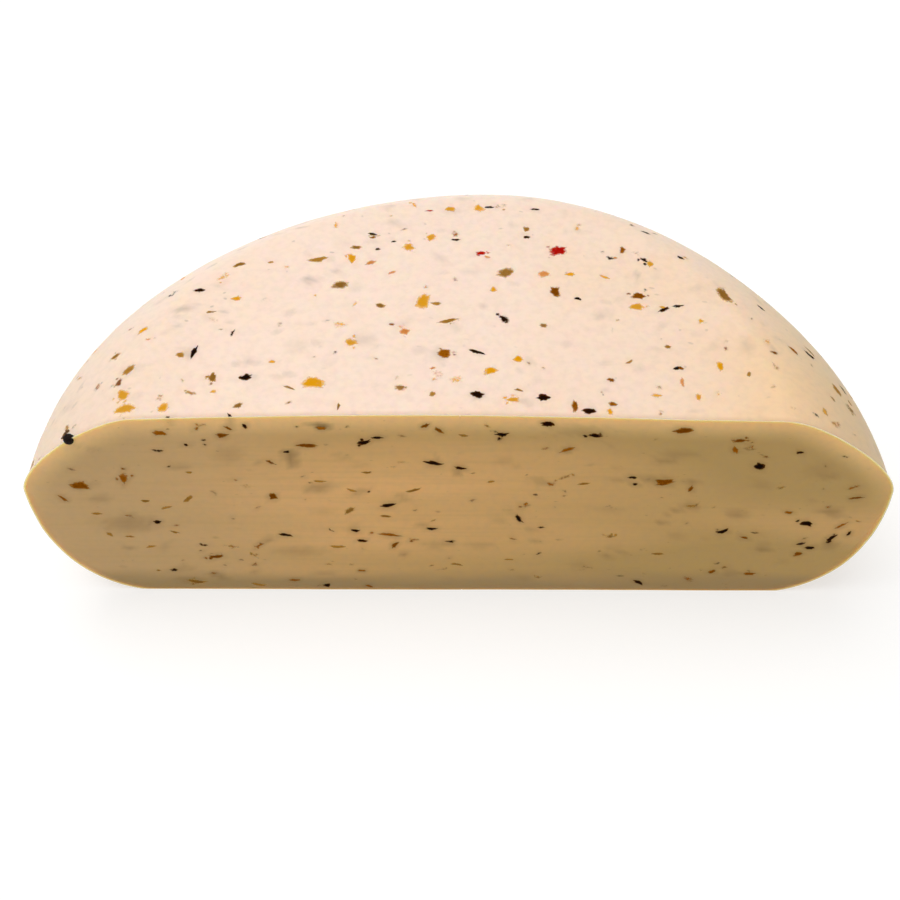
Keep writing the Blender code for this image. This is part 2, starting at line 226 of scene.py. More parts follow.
# Flakes that lie deeper and show as soft grey patches: x, y or z, length, width, turn, shade
TOP_PATCHES = (
    (-86, 48, 8, 3.4, 12, 0.8), (-48, 61, 4, 3, 0, 0.9), (-40, 65, 4, 2.4, 0, 0.6),
    (-22, 90, 5, 2.6, -10, 0.6), (55, 64, 5.5, 2.2, 0, 0.7), (97, 39, 4.5, 2.6, 0, 0.4),
    (-73, 46, 3, 1.8, 0, 0.7), (7, 48, 3.2, 2.6, 0, 0.5), (-82, 28, 6, 5, 0, 0.45),
    (-39, 80, 4, 2.8, 0, 0.5), (-49, 30, 7, 7, 0, 0.3), (43, 45, 8, 4, 0, 0.3),
    (76, 32, 4, 3.6, 0, 0.35), (53, 21, 4.5, 3.6, 0, 0.35), (-98, 22, 9, 6, 0, 0.3),
    (-53, 89, 5, 2, 0, 0.7), (-61, 87, 4, 1.8, 0, 0.6), (-86, 40, 3.4, 2, 0, 0.5),
    (-95, 58, 7, 2.6, 30, 0.4), (3, 64, 6, 2.6, 0, 0.35), (67, 4, 4.5, 1.8, 0, 0.35),
    (118, 34, 5, 3.6, 0, 0.4), (-80, 26, 4, 1.8, 70, 0.7), (5, 8, 4.5, 3.5, 0, 0.5),
    (107, 40, 6, 3, -45, 0.5), (-3, 41, 5, 2, 20, 0.3), (-6, 25, 4, 4, 0, 0.4),
)
CUT_PATCHES = (
    (-103, 33, 20, 9, 0, 0.4), (-50, 63, 4.6, 9, 0, 0.6), (-43, 50, 10, 5, 0, 0.5),
    (57, 54, 7, 4, 0, 0.4), (70, 42, 7, 4, 0, 0.5), (95, 21, 5, 3, 0, 0.5),
    (115, 23, 7, 5.5, 0, 0.4), (-51, 20, 20, 5, 0, 0.25), (-88, 5, 9, 4, 0, 0.4),
    (6, 23, 10, 4, 0, 0.25), (-68, 65, 10, 8, 0, 0.25), (64, 65, 13, 4, 0, 0.3),
    (34, 75, 18, 5, 0, 0.3), (106, 58, 10, 9, 0, 0.2), (-40, 77, 7, 3, -10, 0.7),
    (60, 62, 8, 3, 10, 0.4), (45, 40, 12, 3, 0, 0.2), (-110, 45, 8, 4, 0, 0.3),
)
PATCH_SEED = 43
PATCH_COUNTS = {"top": 50, "side": 90, "cut": 60}
# Those drawn by chance: their length in mm, their width as a share of it, and their shade
PATCH_LENGTHS = (2.5, 8)
PATCH_WIDTHS = (0.3, 0.7)
PATCH_SHADES = (0.1, 0.5)
PATCH_FRAY = 0.5
PATCH_FRAY_SIZE = 1.6 * MM

KINDS = ("black", "brown", "olive", "yellow", "salmon", "red")

# Zones of the cheese's colours, by height, place or depth in mm: start, full, and strength.
# Depths are counted from the cut's outline, with CUT_MARK added.
ZONES = {
    "cut": (0.2, 0.9, 1.0),
    # Painted light: where the glowing band starts inside the cut's outline
    "inside the outline": (0.8, 1.7, 1.0),
    # Painted shade on the rind: down the side, to the right, at both ends and under the top
    "side": (80, 50, 0.62),
    "right side": (30, 100, 1.0),
    "left end": (-45, -130, 0.28),
    "right end": (70, 120, 0.45),
    "under the top": (79, 66, 1.0),
    # Painted shade on the rind beside the cut's rounded edge
    "beside the cut": (3, 0, 0.6),
    # Painted shade on the cut: under its top, low down and to the right
    "upper cut": (46, 66, 0.34),
    "lower cut": (26, 14, 0.35),
    "right of the cut": (20, 95, 0.46),
    "left of the cut": (-20, -110, 0.75),
    # Painted shade on the cut close above the base
    "foot": (15, 6, 1.0),
    # Painted light: the glowing band along the cut's top edge, and the heights it keeps to
    "edge band": (10.5, 1.8, 1.0),
    "height of the edge band": (34, 66, 0.9),
    # Painted shade along the cut's rim, and along the rims of cut and rind low down
    "rim of the cut": (2.4, 1.1, 1.0),
    "rim of the rind": (1.6, 0, 1.0),
    "low rim": (58, 34, 0.7),
}
# How much painted shade darkens the cut's rim
RIM_SHADE = 0.5
STAIN_OF_YELLOW = 0.12
# Where noise begins to show, where it is full, and how strongly it shows
DULL_PATCHES = (0.3, 0.75, 0.55)
STREAKS = (0.4, 0.8, 0.2)
MOTTLE = (0.35, 0.75, 0.09)
CLOUDS = 0.08
# On the rind and on the cut: how dark the stains and the sunk herbs are, and how rough it is
STAIN_SHARES = (0.16, 0.42)
SUNK_SHARES = (0.55, 1.0)
ROUGHNESS = (0.36, 0.48)
ROUGHNESS_VARIES = 0.14
KNIFE_SHARE = 0.8
# Painted shade: how the rind's colour darkens and warms from left to right, away from the light, by the
# metre, and how its start wanders
RIGHT_SHADING = 5.2
WANDERING = 0.8
RIGHT_SHADE_START = 0.3
# Sizes of the noise in the rind and the paste, and how it is drawn out along the cut
WANDERING_SIZE = 55 * MM
CLOUD_SIZE = 11 * MM
DULL_SIZE = 26 * MM
STREAK_SIZE = 1.6 * MM
FOOT_SIZE = 9 * MM
FOOT_WAVE = 6 * MM
MOTTLE_SIZE = 2.4 * MM
KNIFE_SIZE = 0.8 * MM
ROUGHNESS_SIZE = 14 * MM
DULL_STRETCH = (0.22, 1.0, 1.0)
STREAK_STRETCH = (0.05, 1.0, 1.0)
FOOT_STRETCH = (0.2, 1.0, 1.0)
KNIFE_STRETCH = (0.03, 1.0, 1.0)
SKIN_RELIEF = 0.05 * MM
# Herbs strewn through the whole cheese: cell, size, share of the cells, softness and strength
SUNK_HERBS = (
    (7.0 * MM, (5.0 * MM, 2.8 * MM, 1.4 * MM), 0.45, 0.6, 0.30),
    (3.2 * MM, (1.7 * MM, 0.9 * MM, 0.5 * MM), 0.18, 0.4, 0.42),
)
HERB_FRAY_SIZE = 0.9 * MM
HERB_FRAY = 0.8
HERB_LEAN = 0.5
HERB_RANDOMNESS = 0.9
# The flakes' grain, and where it turns their colour to the second tone and to the rim's
GRAIN_SIZE = 0.6 * MM
GRAIN_RELIEF = 0.08 * MM
GRAIN_SHARE = 0.9
TINT_SHARE = 0.7
SECOND_TONE = (0.1, 0.9)
RIM_TONE = (0.6, 1.05)
# How frayed their rims are, where that ends, and below which cover nothing of them shows
FRAY_SIZE = 0.9 * MM
FRAY = 3.8
FRAY_END = 1.1
BARE = 0.03
# The peppercorn's wrinkles
WRINKLE_SIZE = 0.8 * MM
WRINKLE_RELIEF = 0.25 * MM
TABLE_MOTTLE_SIZE = 0.22

# The camera: its place, the point it looks at, and how far the picture is turned
CAMERA_PLACE = Vector((6.1 * MM, -355.1 * MM, 379.5 * MM))
CAMERA_AIM = Vector((-2.5 * MM, -26.4 * MM, 26 * MM))
CAMERA_ROLL = math.radians(-1.04)
CAMERA_LENS = 58.47


def colour_setting(name, description, default):
    """A colour that the panel shows."""
    return FloatVectorProperty(name=name, description=description, subtype="COLOR", size=3,
                               min=0, max=1, default=default)


def length_setting(name, description, default):
    """A length that the panel shows."""
    return FloatProperty(name=name, description=description, subtype="DISTANCE", unit="LENGTH",
                         min=0, precision=5, default=default)


class CheeseSizes(bpy.types.PropertyGroup):
    """The small sizes of the cheese and its flakes. The wheel's own form follows its solid."""
    edge_round: length_setting("Cut edge", "How far the cut's edge is rounded off", 0.7 * MM)
    wave: length_setting("Wave", "How far the pressed rind waves in and out", 0.28 * MM)
    cut_wave: length_setting("Cut wave", "How far the knife left the cut uneven", 0.12 * MM)
    flake_proud: length_setting("Flake height", "How far a flake stands out", 0.05 * MM)
    flake_sunk: length_setting("Flake depth", "How deep a flake reaches in", 0.5 * MM)
    halo: length_setting("Halo", "How far the stain round a flake spreads", 1.3 * MM)
    translucency: length_setting("Translucency", "How far light goes in the paste", 3.2 * MM)


class CheeseColours(bpy.types.PropertyGroup):
    """The colours of the cheese and its flakes, with painted shade and a painted glow among them."""
    rind: colour_setting("Rind", "The smooth outside", (0.915, 0.74, 0.632))
    # Painted shade: the rind darker and warmer to the right, away from the light
    rind_right_shade: colour_setting("Warm rind", "The outside to the right", (0.89, 0.63, 0.365))
    # Painted shade: the rind darker down its side, where less light falls
    rind_side_shade: colour_setting("Side", "The outside down its side", (0.73, 0.55, 0.37))
    # Painted shade: the side darker and warmer to the right, away from the light
    side_right_shade: colour_setting("Warm side", "The side to the right", (0.69, 0.485, 0.24))
    # Painted shade: the rind darker along the cut's rounded edge, where light comes through
    rind_edge_shade: colour_setting("Edge", "The outside where it meets the cut", (0.60, 0.44, 0.28))
    paste: colour_setting("Paste", "The cut", (0.83, 0.485, 0.185))
    # Dull patches and streaks of the paste, and painted shade under the cut's top, low down, to the right
    # and along its rim
    paste_dull_and_shade: colour_setting("Dull paste", "Broad patches of the cut", (0.515, 0.33, 0.104))
    paste_grey: colour_setting("Grey paste", "The cut towards its left end", (0.55, 0.37, 0.17))
    # Painted light: a glow along the cut's top edge, where light comes through the paste
    paste_edge_glow: colour_setting("Paste edge", "The cut along its top edge", (0.86, 0.58, 0.24))
    # Painted shade: the cut darker close above the base, and the low rims of cut and rind
    foot: colour_setting("Foot", "The cut close above the base", (0.40, 0.266, 0.102))
    sunk: colour_setting("Sunk herbs", "Herbs seen through the rind", (0.30, 0.25, 0.20))
    sunk_cut: colour_setting("Herbs in the cut", "Herbs seen through the cut", (0.22, 0.13, 0.035))
    black: colour_setting("Pepper", "Cracked black pepper", (0.006, 0.003, 0.002))
    brown: colour_setting("Brown", "Brown herbs", (0.16, 0.043, 0.001))
    olive: colour_setting("Olive", "Olive herbs", (0.23, 0.105, 0.016))
    yellow: colour_setting("Yellow", "Yellow herbs", (0.70, 0.305, 0.003))
    salmon: colour_setting("Salmon", "Pale red pepper", (0.51, 0.17, 0.035))
    red: colour_setting("Red", "Red pepper", (0.40, 0.003, 0.001))


class StudioSettings(bpy.types.PropertyGroup):
    """The table and the lights."""
    table: colour_setting("Table", "The pale table", (0.45, 0.45, 0.448))
    glow: FloatProperty(name="Table glow", description="How much light the table gives off by itself",
                        default=0.60)
    sky: FloatProperty(name="Room light", description="Strength of the even light", default=0.30)
    key: FloatProperty(name="Key light", description="Power of the large lamp", default=18.8,
                       subtype="POWER", unit="POWER")


class Wheel:
    """The form of the half wheel: the same rules as its solid, with a finer mesh."""

    @staticmethod
    def swell(phi):
        """How much larger than round the wheel is in the direction phi."""
        parts = (c * math.cos(n * phi) + s * math.sin(n * phi) for n, c, s in OUT_OF_ROUND)
        return 1 + sum(parts) / WHEEL_RADIUS

    @staticmethod
    def crown(x, y):
        """Height of the low crown on the top, at x and y from the axis."""
        away = math.hypot(x - CROWN_CENTRE[0], y - CROWN_CENTRE[1]) / CROWN_REACH
        return CROWN_RISE * math.cos(math.pi / 2 * min(1.0, away)) ** 2

    @staticmethod
    def corner(step, fullness):
        """A rounded corner, from an upright side at (1, 0) to a level side at (0, 1)."""
        left = 1 - step
        out = left ** 3 + 3 * left ** 2 * step + 3 * left * step ** 2 * fullness
        up = 3 * left ** 2 * step * fullness + 3 * left * step ** 2 + step ** 3
        return out, up

    @classmethod
    def corner_step(cls, out, fullness):
        """The step at which the corner is this far out."""
        low, high = 0.0, 1.0
        for _ in range(HALVINGS):
            middle = (low + high) / 2
            if cls.corner(middle, fullness)[0] > out:
                low = middle
            else:
                high = middle
        return low

    @staticmethod
    def shoulder_width(phi):
        """How far the rounded top edge reaches in from the rim."""
        return SHOULDER_WIDTH + SHOULDER_WIDENING * math.cos(phi) ** 2

    @classmethod
    def upper_point(cls, phi, out, up):
        """A point on the shoulder, from how far out and up it is on the rounded corner."""
        width = cls.shoulder_width(phi)
        radius = (WHEEL_RADIUS - width + width * out) * cls.swell(phi)
        x, y = radius * math.cos(phi), radius * math.sin(phi)
        rise = WHEEL_HEIGHT + cls.crown(x, y) - BELLY_HEIGHT
        return Vector((x, y, BELLY_HEIGHT + rise * up))

    @classmethod
    def lower_point(cls, phi, out, up):
        """The same on the foot."""
        radius = (WHEEL_RADIUS - FOOT_WIDTH + FOOT_WIDTH * out) * cls.swell(phi)
        return Vector((radius * math.cos(phi), radius * math.sin(phi), BELLY_HEIGHT * (1 - up)))

    @classmethod
    def rim_point(cls, phi, climb):
        """A point on the rim, where climb is -1 at the base, 0 at the belly and 1 at the top."""
        if climb > 0:
            return cls.upper_point(phi, *cls.corner(climb, SHOULDER_FULLNESS))
        return cls.lower_point(phi, *cls.corner(-climb, FOOT_FULLNESS))

    @classmethod
    def top_point(cls, x, y):
        """A point on the top or shoulder, above x and y from the axis."""
        phi = math.atan2(y, x)
        width = cls.shoulder_width(phi)
        out = (math.hypot(x, y) / cls.swell(phi) - WHEEL_RADIUS + width) / width
        up = 1.0
        if out > 0:
            up = cls.corner(cls.corner_step(out, SHOULDER_FULLNESS), SHOULDER_FULLNESS)[1]
        rise = WHEEL_HEIGHT + cls.crown(x, y) - BELLY_HEIGHT
        return Vector((x, y, BELLY_HEIGHT + rise * up))

    @classmethod
    def meridian(cls, phi):
        """Points down one side, from the top's middle over the rim to the base's middle."""
        inner = WHEEL_RADIUS - cls.shoulder_width(phi)
        foot = WHEEL_RADIUS - FOOT_WIDTH
        way = Vector((math.cos(phi), math.sin(phi), 0)) * cls.swell(phi)
        shares = [(ring / TOP_RINGS) ** RING_CROWDING for ring in range(1, TOP_RINGS)]
        points = [cls.top_point(*(way * inner * share).xy) for share in shares]
        for ring in range(SHOULDER_RINGS):
            points.append(cls.rim_point(phi, 1 - ring / SHOULDER_RINGS))
        for ring in range(FOOT_RINGS + 1):
            points.append(cls.rim_point(phi, -ring / FOOT_RINGS))
        points += [way * foot * share for share in reversed(shares)]
        return points


def relief(point, size):
    """Even, seeded unevenness from -1 to 1, with swells of about this size."""
    return noise.noise(point / size, noise_basis="PERLIN_ORIGINAL")


def meridian_angles():
    """Angles round the axis, closer together towards the cut, where the edge is rounded."""
    angles = []
    for number in range(SECTORS + 1):
        share = number / SECTORS
        angles.append(math.pi * share - SECTOR_CROWDING * math.sin(2 * math.pi * share) / 2)
    angles[0] = 0.0
    angles[-1] = math.pi
    return angles


class HalfWheel:
    """Builds the cheese: rind, base and cut in one closed skin."""
    WAVE_SIZE = 34 * MM
    RIPPLE_SIZE = 9 * MM
    RIPPLE_SHARE = 0.22
    FADE = 3 * MM
    # How far the rind lies within its solid on the whole, as a share of the wave
    SETTLED = 0.5
    # The knife's waves: long along the cut and short up it, with finer ones between them
    KNIFE_LENGTH = 55 * MM
    KNIFE_HEIGHT = 9 * MM
    FINER = 3.1
    FINER_SHARE = 0.4

    def __init__(self, sizes):
        self.sizes = sizes
        self.bm = bmesh.new()
        self.rim_depth = self.bm.verts.layers.float.new("rim_depth")
        self.inner = []

    def rounding(self, away):
        """How far the surface drops towards the cut's rounded edge, this far from the cut."""
        edge = self.sizes.edge_round
        if away >= edge:
            return 0.0
        return edge - math.sqrt(edge ** 2 - (edge - away) ** 2)

    def cut_place(self, point):
        """The cut's own unevenness, added to a point on it or close behind it."""
        fade = max(0.0, 1 - point.y / self.FADE)
        stretched = Vector((point.x / self.KNIFE_LENGTH, 0, point.z / self.KNIFE_HEIGHT))
        wave = noise.noise(stretched) + self.FINER_SHARE * noise.noise(stretched * self.FINER)
        return Vector((0, self.sizes.cut_wave * wave * fade, 0))

    def skin_point(self, point, normal):
        """A point of the rind, moved by its waves and by the rounded edge."""
        wave = relief(point, self.WAVE_SIZE) + self.RIPPLE_SHARE * relief(point, self.RIPPLE_SIZE)
        moved = point + normal * (self.sizes.wave * (wave - self.SETTLED))
        moved -= normal * self.rounding(point.y)
        moved += self.cut_place(point)
        moved.z = max(moved.z, BASE_GAP)
        return AXIS + moved

    def meridian_vertices(self, phi):
        """One line of vertices down the rind and over the base, in the direction phi."""
        points = Wheel.meridian(phi)
        if phi in (0, math.pi):
            for point in points:
                point.y = 0
        across = Vector((-math.sin(phi), math.cos(phi), 0))
        hub = [Wheel.top_point(0, 0)]
        ends = hub + points + [Vector((0, 0, 0))]
        vertices = []
        for before, point, after in zip(ends, points, ends[2:]):
            normal = across.cross(after - before).normalized()
            vertices.append(self.bm.verts.new(self.skin_point(point, normal)))
        return vertices

    def build(self):
        """The whole skin, as a bmesh that is ready for an object."""
        bm = self.bm
        up = Vector((0, 0, 1))
        top_hub = bm.verts.new(self.skin_point(Wheel.top_point(0, 0), up))
        base_hub = bm.verts.new(self.skin_point(Vector((0, 0, 0)), -up))
        lines = [self.meridian_vertices(phi) for phi in meridian_angles()]
        for line, following in zip(lines, lines[1:]):
            bm.faces.new((top_hub, line[0], following[0]))
            for step in range(len(line) - 1):
                bm.faces.new((line[step], line[step + 1], following[step + 1], following[step]))
            bm.faces.new((base_hub, following[-1], line[-1]))
        self.build_cut(top_hub, base_hub, lines[0], lines[-1])
        bmesh.ops.recalc_face_normals(bm, faces=bm.faces[:])
        return bm

    def build_cut(self, top_hub, base_hub, right, left):
        """Upright columns between the top and the base, from the axis out to both bellies."""
        belly = len(right) // 2
        outline = KDTree(2 * len(right))
        for number, vertex in enumerate(right + left):
            outline.insert(vertex.co, number)
        outline.balance()
        middle = self.column(top_hub, base_hub)
        for line in (right, left):
            previous = middle
            for step in range(belly):
                column = self.column(line[step], line[-1 - step])
                for level in range(CUT_LEVELS):
                    self.bm.faces.new((previous[level], previous[level + 1],
                                       column[level + 1], column[level]))
                previous = column
            for level in range(CUT_LEVELS):
                self.bm.faces.new((previous[level], previous[level + 1], line[belly]))
        self.note_depths(outline, right + left + [top_hub, base_hub])

    def column(self, upper, lower):
        """A line of vertices up the cut, closer together towards its edge."""
        vertices = [upper]
        for level in range(1, CUT_LEVELS):
            share = 0.5 - 0.5 * math.cos(math.pi * level / CUT_LEVELS)
            place = upper.co.lerp(lower.co, share) - AXIS
            place.y = 0
            vertex = self.bm.verts.new(AXIS + place + self.cut_place(place))
            vertices.append(vertex)
            self.inner.append(vertex)
        return vertices + [lower]

    def note_depths(self, outline, corners):
        """How far in from its outline each point of the cut lies, plus the mark that sets it apart."""
        for vertex in self.inner:
            vertex[self.rim_depth] = CUT_MARK + outline.find(vertex.co)[2]
        for vertex in corners:
            vertex[self.rim_depth] = CUT_MARK


def surface_frame(point, across, along, turn):
    """A flake's frame at a point: its length turned from the first direction, and up outwards."""
    normal = across.cross(along).normalized()
    length_way = Matrix.Rotation(math.radians(turn), 3, normal) @ across.normalized()
    width_way = normal.cross(length_way)
    place = Matrix((length_way, width_way, normal)).transposed().to_4x4()
    place.translation = AXIS + point
    return place


def top_frame(x, y, turn):
    """A flake's frame on the top or shoulder."""
    point = Wheel.top_point(x, y)
    across = Wheel.top_point(x + NEAR, y) - point
    along = Wheel.top_point(x, y + NEAR) - point
    return surface_frame(point, across, along, turn)


def rim_frame(phi, climb, turn):
    """The same on the rim."""
    point = Wheel.rim_point(phi, climb)
    across = Wheel.rim_point(phi + NEAR / WHEEL_RADIUS, climb) - point
    along = Wheel.rim_point(phi, climb + NEAR / WHEEL_HEIGHT) - point
    return surface_frame(point, across, along, turn)


def cut_frame(x, z, turn):
    """The same on the cut."""
    return surface_frame(Vector((x, 0, z)), Vector((1, 0, 0)), Vector((0, 0, 1)), turn)


def base_frame(x, y, turn):
    """The same on the underside."""
    return surface_frame(Vector((x, y, 0)), Vector((0, 1, 0)), Vector((1, 0, 0)), turn)


def flake(kind, place, length, width, chance, depth, fine=False):
    """One flake: where it lies, its size, how deep it is sunk and how far its corners reach."""
    return {"kind": kind, "frame": place, "length": length, "width": width, "depth": depth,
            "fine": fine,
            "corners": [chance.uniform(*CORNER_REACH) for _ in range(FLAKE_CORNERS)]}


def clear_of_others(place, length, flakes, gap):
    """True where a flake of this length would touch none of the others."""
    return all((place.translation - other["frame"].translation).length
               > (length + other["length"]) / 2 + gap for other in flakes)


def listed_flakes(top_rows, cut_rows, seed, fine):
    """The flakes whose places were chosen one by one."""
    chance = random.Random(seed)
    sinking = random.Random(seed)
    flakes = []
    for rows, to_frame in ((top_rows, top_frame), (cut_rows, cut_frame)):
        for kind, places in rows.items():
            for first, second, length, width, turn in places:
                place = to_frame(first * MM, second * MM, turn)
                depth = sinking.uniform(*LISTED_DEPTHS)
                flakes.append(flake(kind, place, length * MM, width * MM, chance, depth, fine))
    return flakes


def scatter(flakes, settings, shares, draw_frame, fine=False):
    """Add flakes by chance to a surface, each clear of those already there."""
    chance = random.Random(settings["seed"])
    sinking = random.Random(settings["seed"])
    kinds, weights = zip(*shares)
    gap = FINE_GAP if fine else FLAKE_GAP
    wanted = len(flakes) + settings["count"]
    while len(flakes) < wanted:
        length = chance.uniform(*settings["lengths"]) * MM
        width = length * chance.uniform(*settings["widths"])
        kind = chance.choices(kinds, weights)[0]
        place = draw_frame(chance, length)
        if place is not None and clear_of_others(place, length, flakes, gap):
            depth = sinking.uniform(*(FINE_DEPTHS if fine else SCATTERED_DEPTHS))
            flakes.append(flake(kind, place, length, width, chance, depth, fine))


def draw_on_top(chance, length):
    """A place on the top or shoulder, clear of the cut's edge."""
    radius = TOP_REACH * WHEEL_RADIUS * math.sqrt(chance.random())
    phi = chance.uniform(0, math.pi)
    x, y = radius * math.cos(phi), radius * math.sin(phi)
    turn = chance.uniform(0, 180)
    return top_frame(x, y, turn) if y > length / 2 + EDGE_MARGIN else None


def draw_on_side(chance, length):
    """A place on the rim, from a little above the base to half way up the shoulder."""
    phi = chance.uniform(0, math.pi)
    climb = chance.uniform(*SIDE_CLIMBS)
    turn = chance.uniform(0, 180)
    margin = (length / 2 + EDGE_MARGIN) / WHEEL_RADIUS
    return rim_frame(phi, climb, turn) if margin < phi < math.pi - margin else None


def draw_on_cut(chance, length):
    """A place on the cut, where the flakes lie nearly level, clear of its outline."""
    x = chance.uniform(-1, 1) * WHEEL_RADIUS
    z = chance.uniform(0, 1) * WHEEL_HEIGHT
    turn = chance.gauss(0, CUT_TURN)
    margin = length / 2 + EDGE_MARGIN
    lowest = margin + CUT_CORNER * max(0.0, abs(x) - WHEEL_RADIUS + FOOT_WIDTH)
    inside = lowest < z < Wheel.top_point(x, 0).z - margin and abs(x) < WHEEL_RADIUS - 3 * margin
    return cut_frame(x, z, turn) if inside else None


def draw_on_base(chance, length):
    """A place on the flat underside."""
    radius = (WHEEL_RADIUS - FOOT_WIDTH) * math.sqrt(chance.random())
    phi = chance.uniform(0, math.pi)
    x, y = radius * math.cos(phi), radius * math.sin(phi)
    turn = chance.uniform(0, 180)
    return base_frame(x, y, turn) if y > length / 2 + EDGE_MARGIN else None


DRAWS = {"top": draw_on_top, "side": draw_on_side, "cut": draw_on_cut, "base": draw_on_base}


def all_flakes():
    """Every flake of the half wheel: first those of the solid, in its order, then the finer ones."""
    flakes = listed_flakes(TOP_FLAKES, CUT_FLAKES, PLACED_SEED, False)
    corn = random.Random(PLACED_SEED)
    x, y, width = PEPPERCORN
    flakes.append(flake("corn", top_frame(x * MM, y * MM, 0), width * MM, width * MM, corn, 0))
    scatter(flakes, TOP_SCATTER, OUTER_SHARES, draw_on_top)
    scatter(flakes, SIDE_SCATTER, OUTER_SHARES, draw_on_side)
    scatter(flakes, CUT_SCATTER, CUT_SHARES, draw_on_cut)
    flakes += listed_flakes(FINE_TOP, FINE_CUT, FINE_SEED, True)
    for surface, settings in FINE_SCATTERS:
        shares = CUT_SHARES if surface == "cut" else OUTER_SHARES
        scatter(flakes, settings, shares, DRAWS[surface], True)
    return flakes + crumbs_beside(flakes)


def crumbs_beside(flakes):
    """Crumbs that broke off some of the larger flakes and lie beside them."""
    chance = random.Random(CRUMB_SEED)
    crumbs = []
    for item in flakes:
        if item["fine"] or item["kind"] == "corn" or chance.random() > CRUMB_SHARE:
            continue
        for _ in range(chance.randint(1, MOST_CRUMBS)):
            turn = chance.uniform(0, 2 * math.pi)
            along = item["length"] * chance.uniform(*CRUMBS_ALONG) * math.cos(turn)
            across = item["width"] * chance.uniform(*CRUMBS_ACROSS) * math.sin(turn)
            place = item["frame"] @ Matrix.Translation((along, across, 0))
            place @= Matrix.Rotation(chance.uniform(0, math.pi), 4, "Z")
            length = chance.uniform(*CRUMB_LENGTHS) * MM
            depth = chance.uniform(*SCATTERED_DEPTHS)
            width = length * chance.uniform(*CRUMB_WIDTHS)
            crumbs.append(flake(item["kind"], place, length, width, chance, depth, True))
    return crumbs


def sunk_patches():
    """Places, sizes and shades of the flakes that lie deeper in the cheese."""
    patches = []
    for rows, to_frame in ((TOP_PATCHES, top_frame), (CUT_PATCHES, cut_frame)):
        for first, second, length, width, turn, shade in rows:
            place = to_frame(first * MM, second * MM, turn)
            patches.append((place, length * MM, width * MM, shade))
    chance = random.Random(PATCH_SEED)
    for surface, count in PATCH_COUNTS.items():
        found = 0
        while found < count:
            length = chance.uniform(*PATCH_LENGTHS) * MM
            place = DRAWS[surface](chance, length)
            if place is not None:
                width = length * chance.uniform(*PATCH_WIDTHS)
                patches.append((place, length, width, chance.uniform(*PATCH_SHADES)))
                found += 1
    return patches


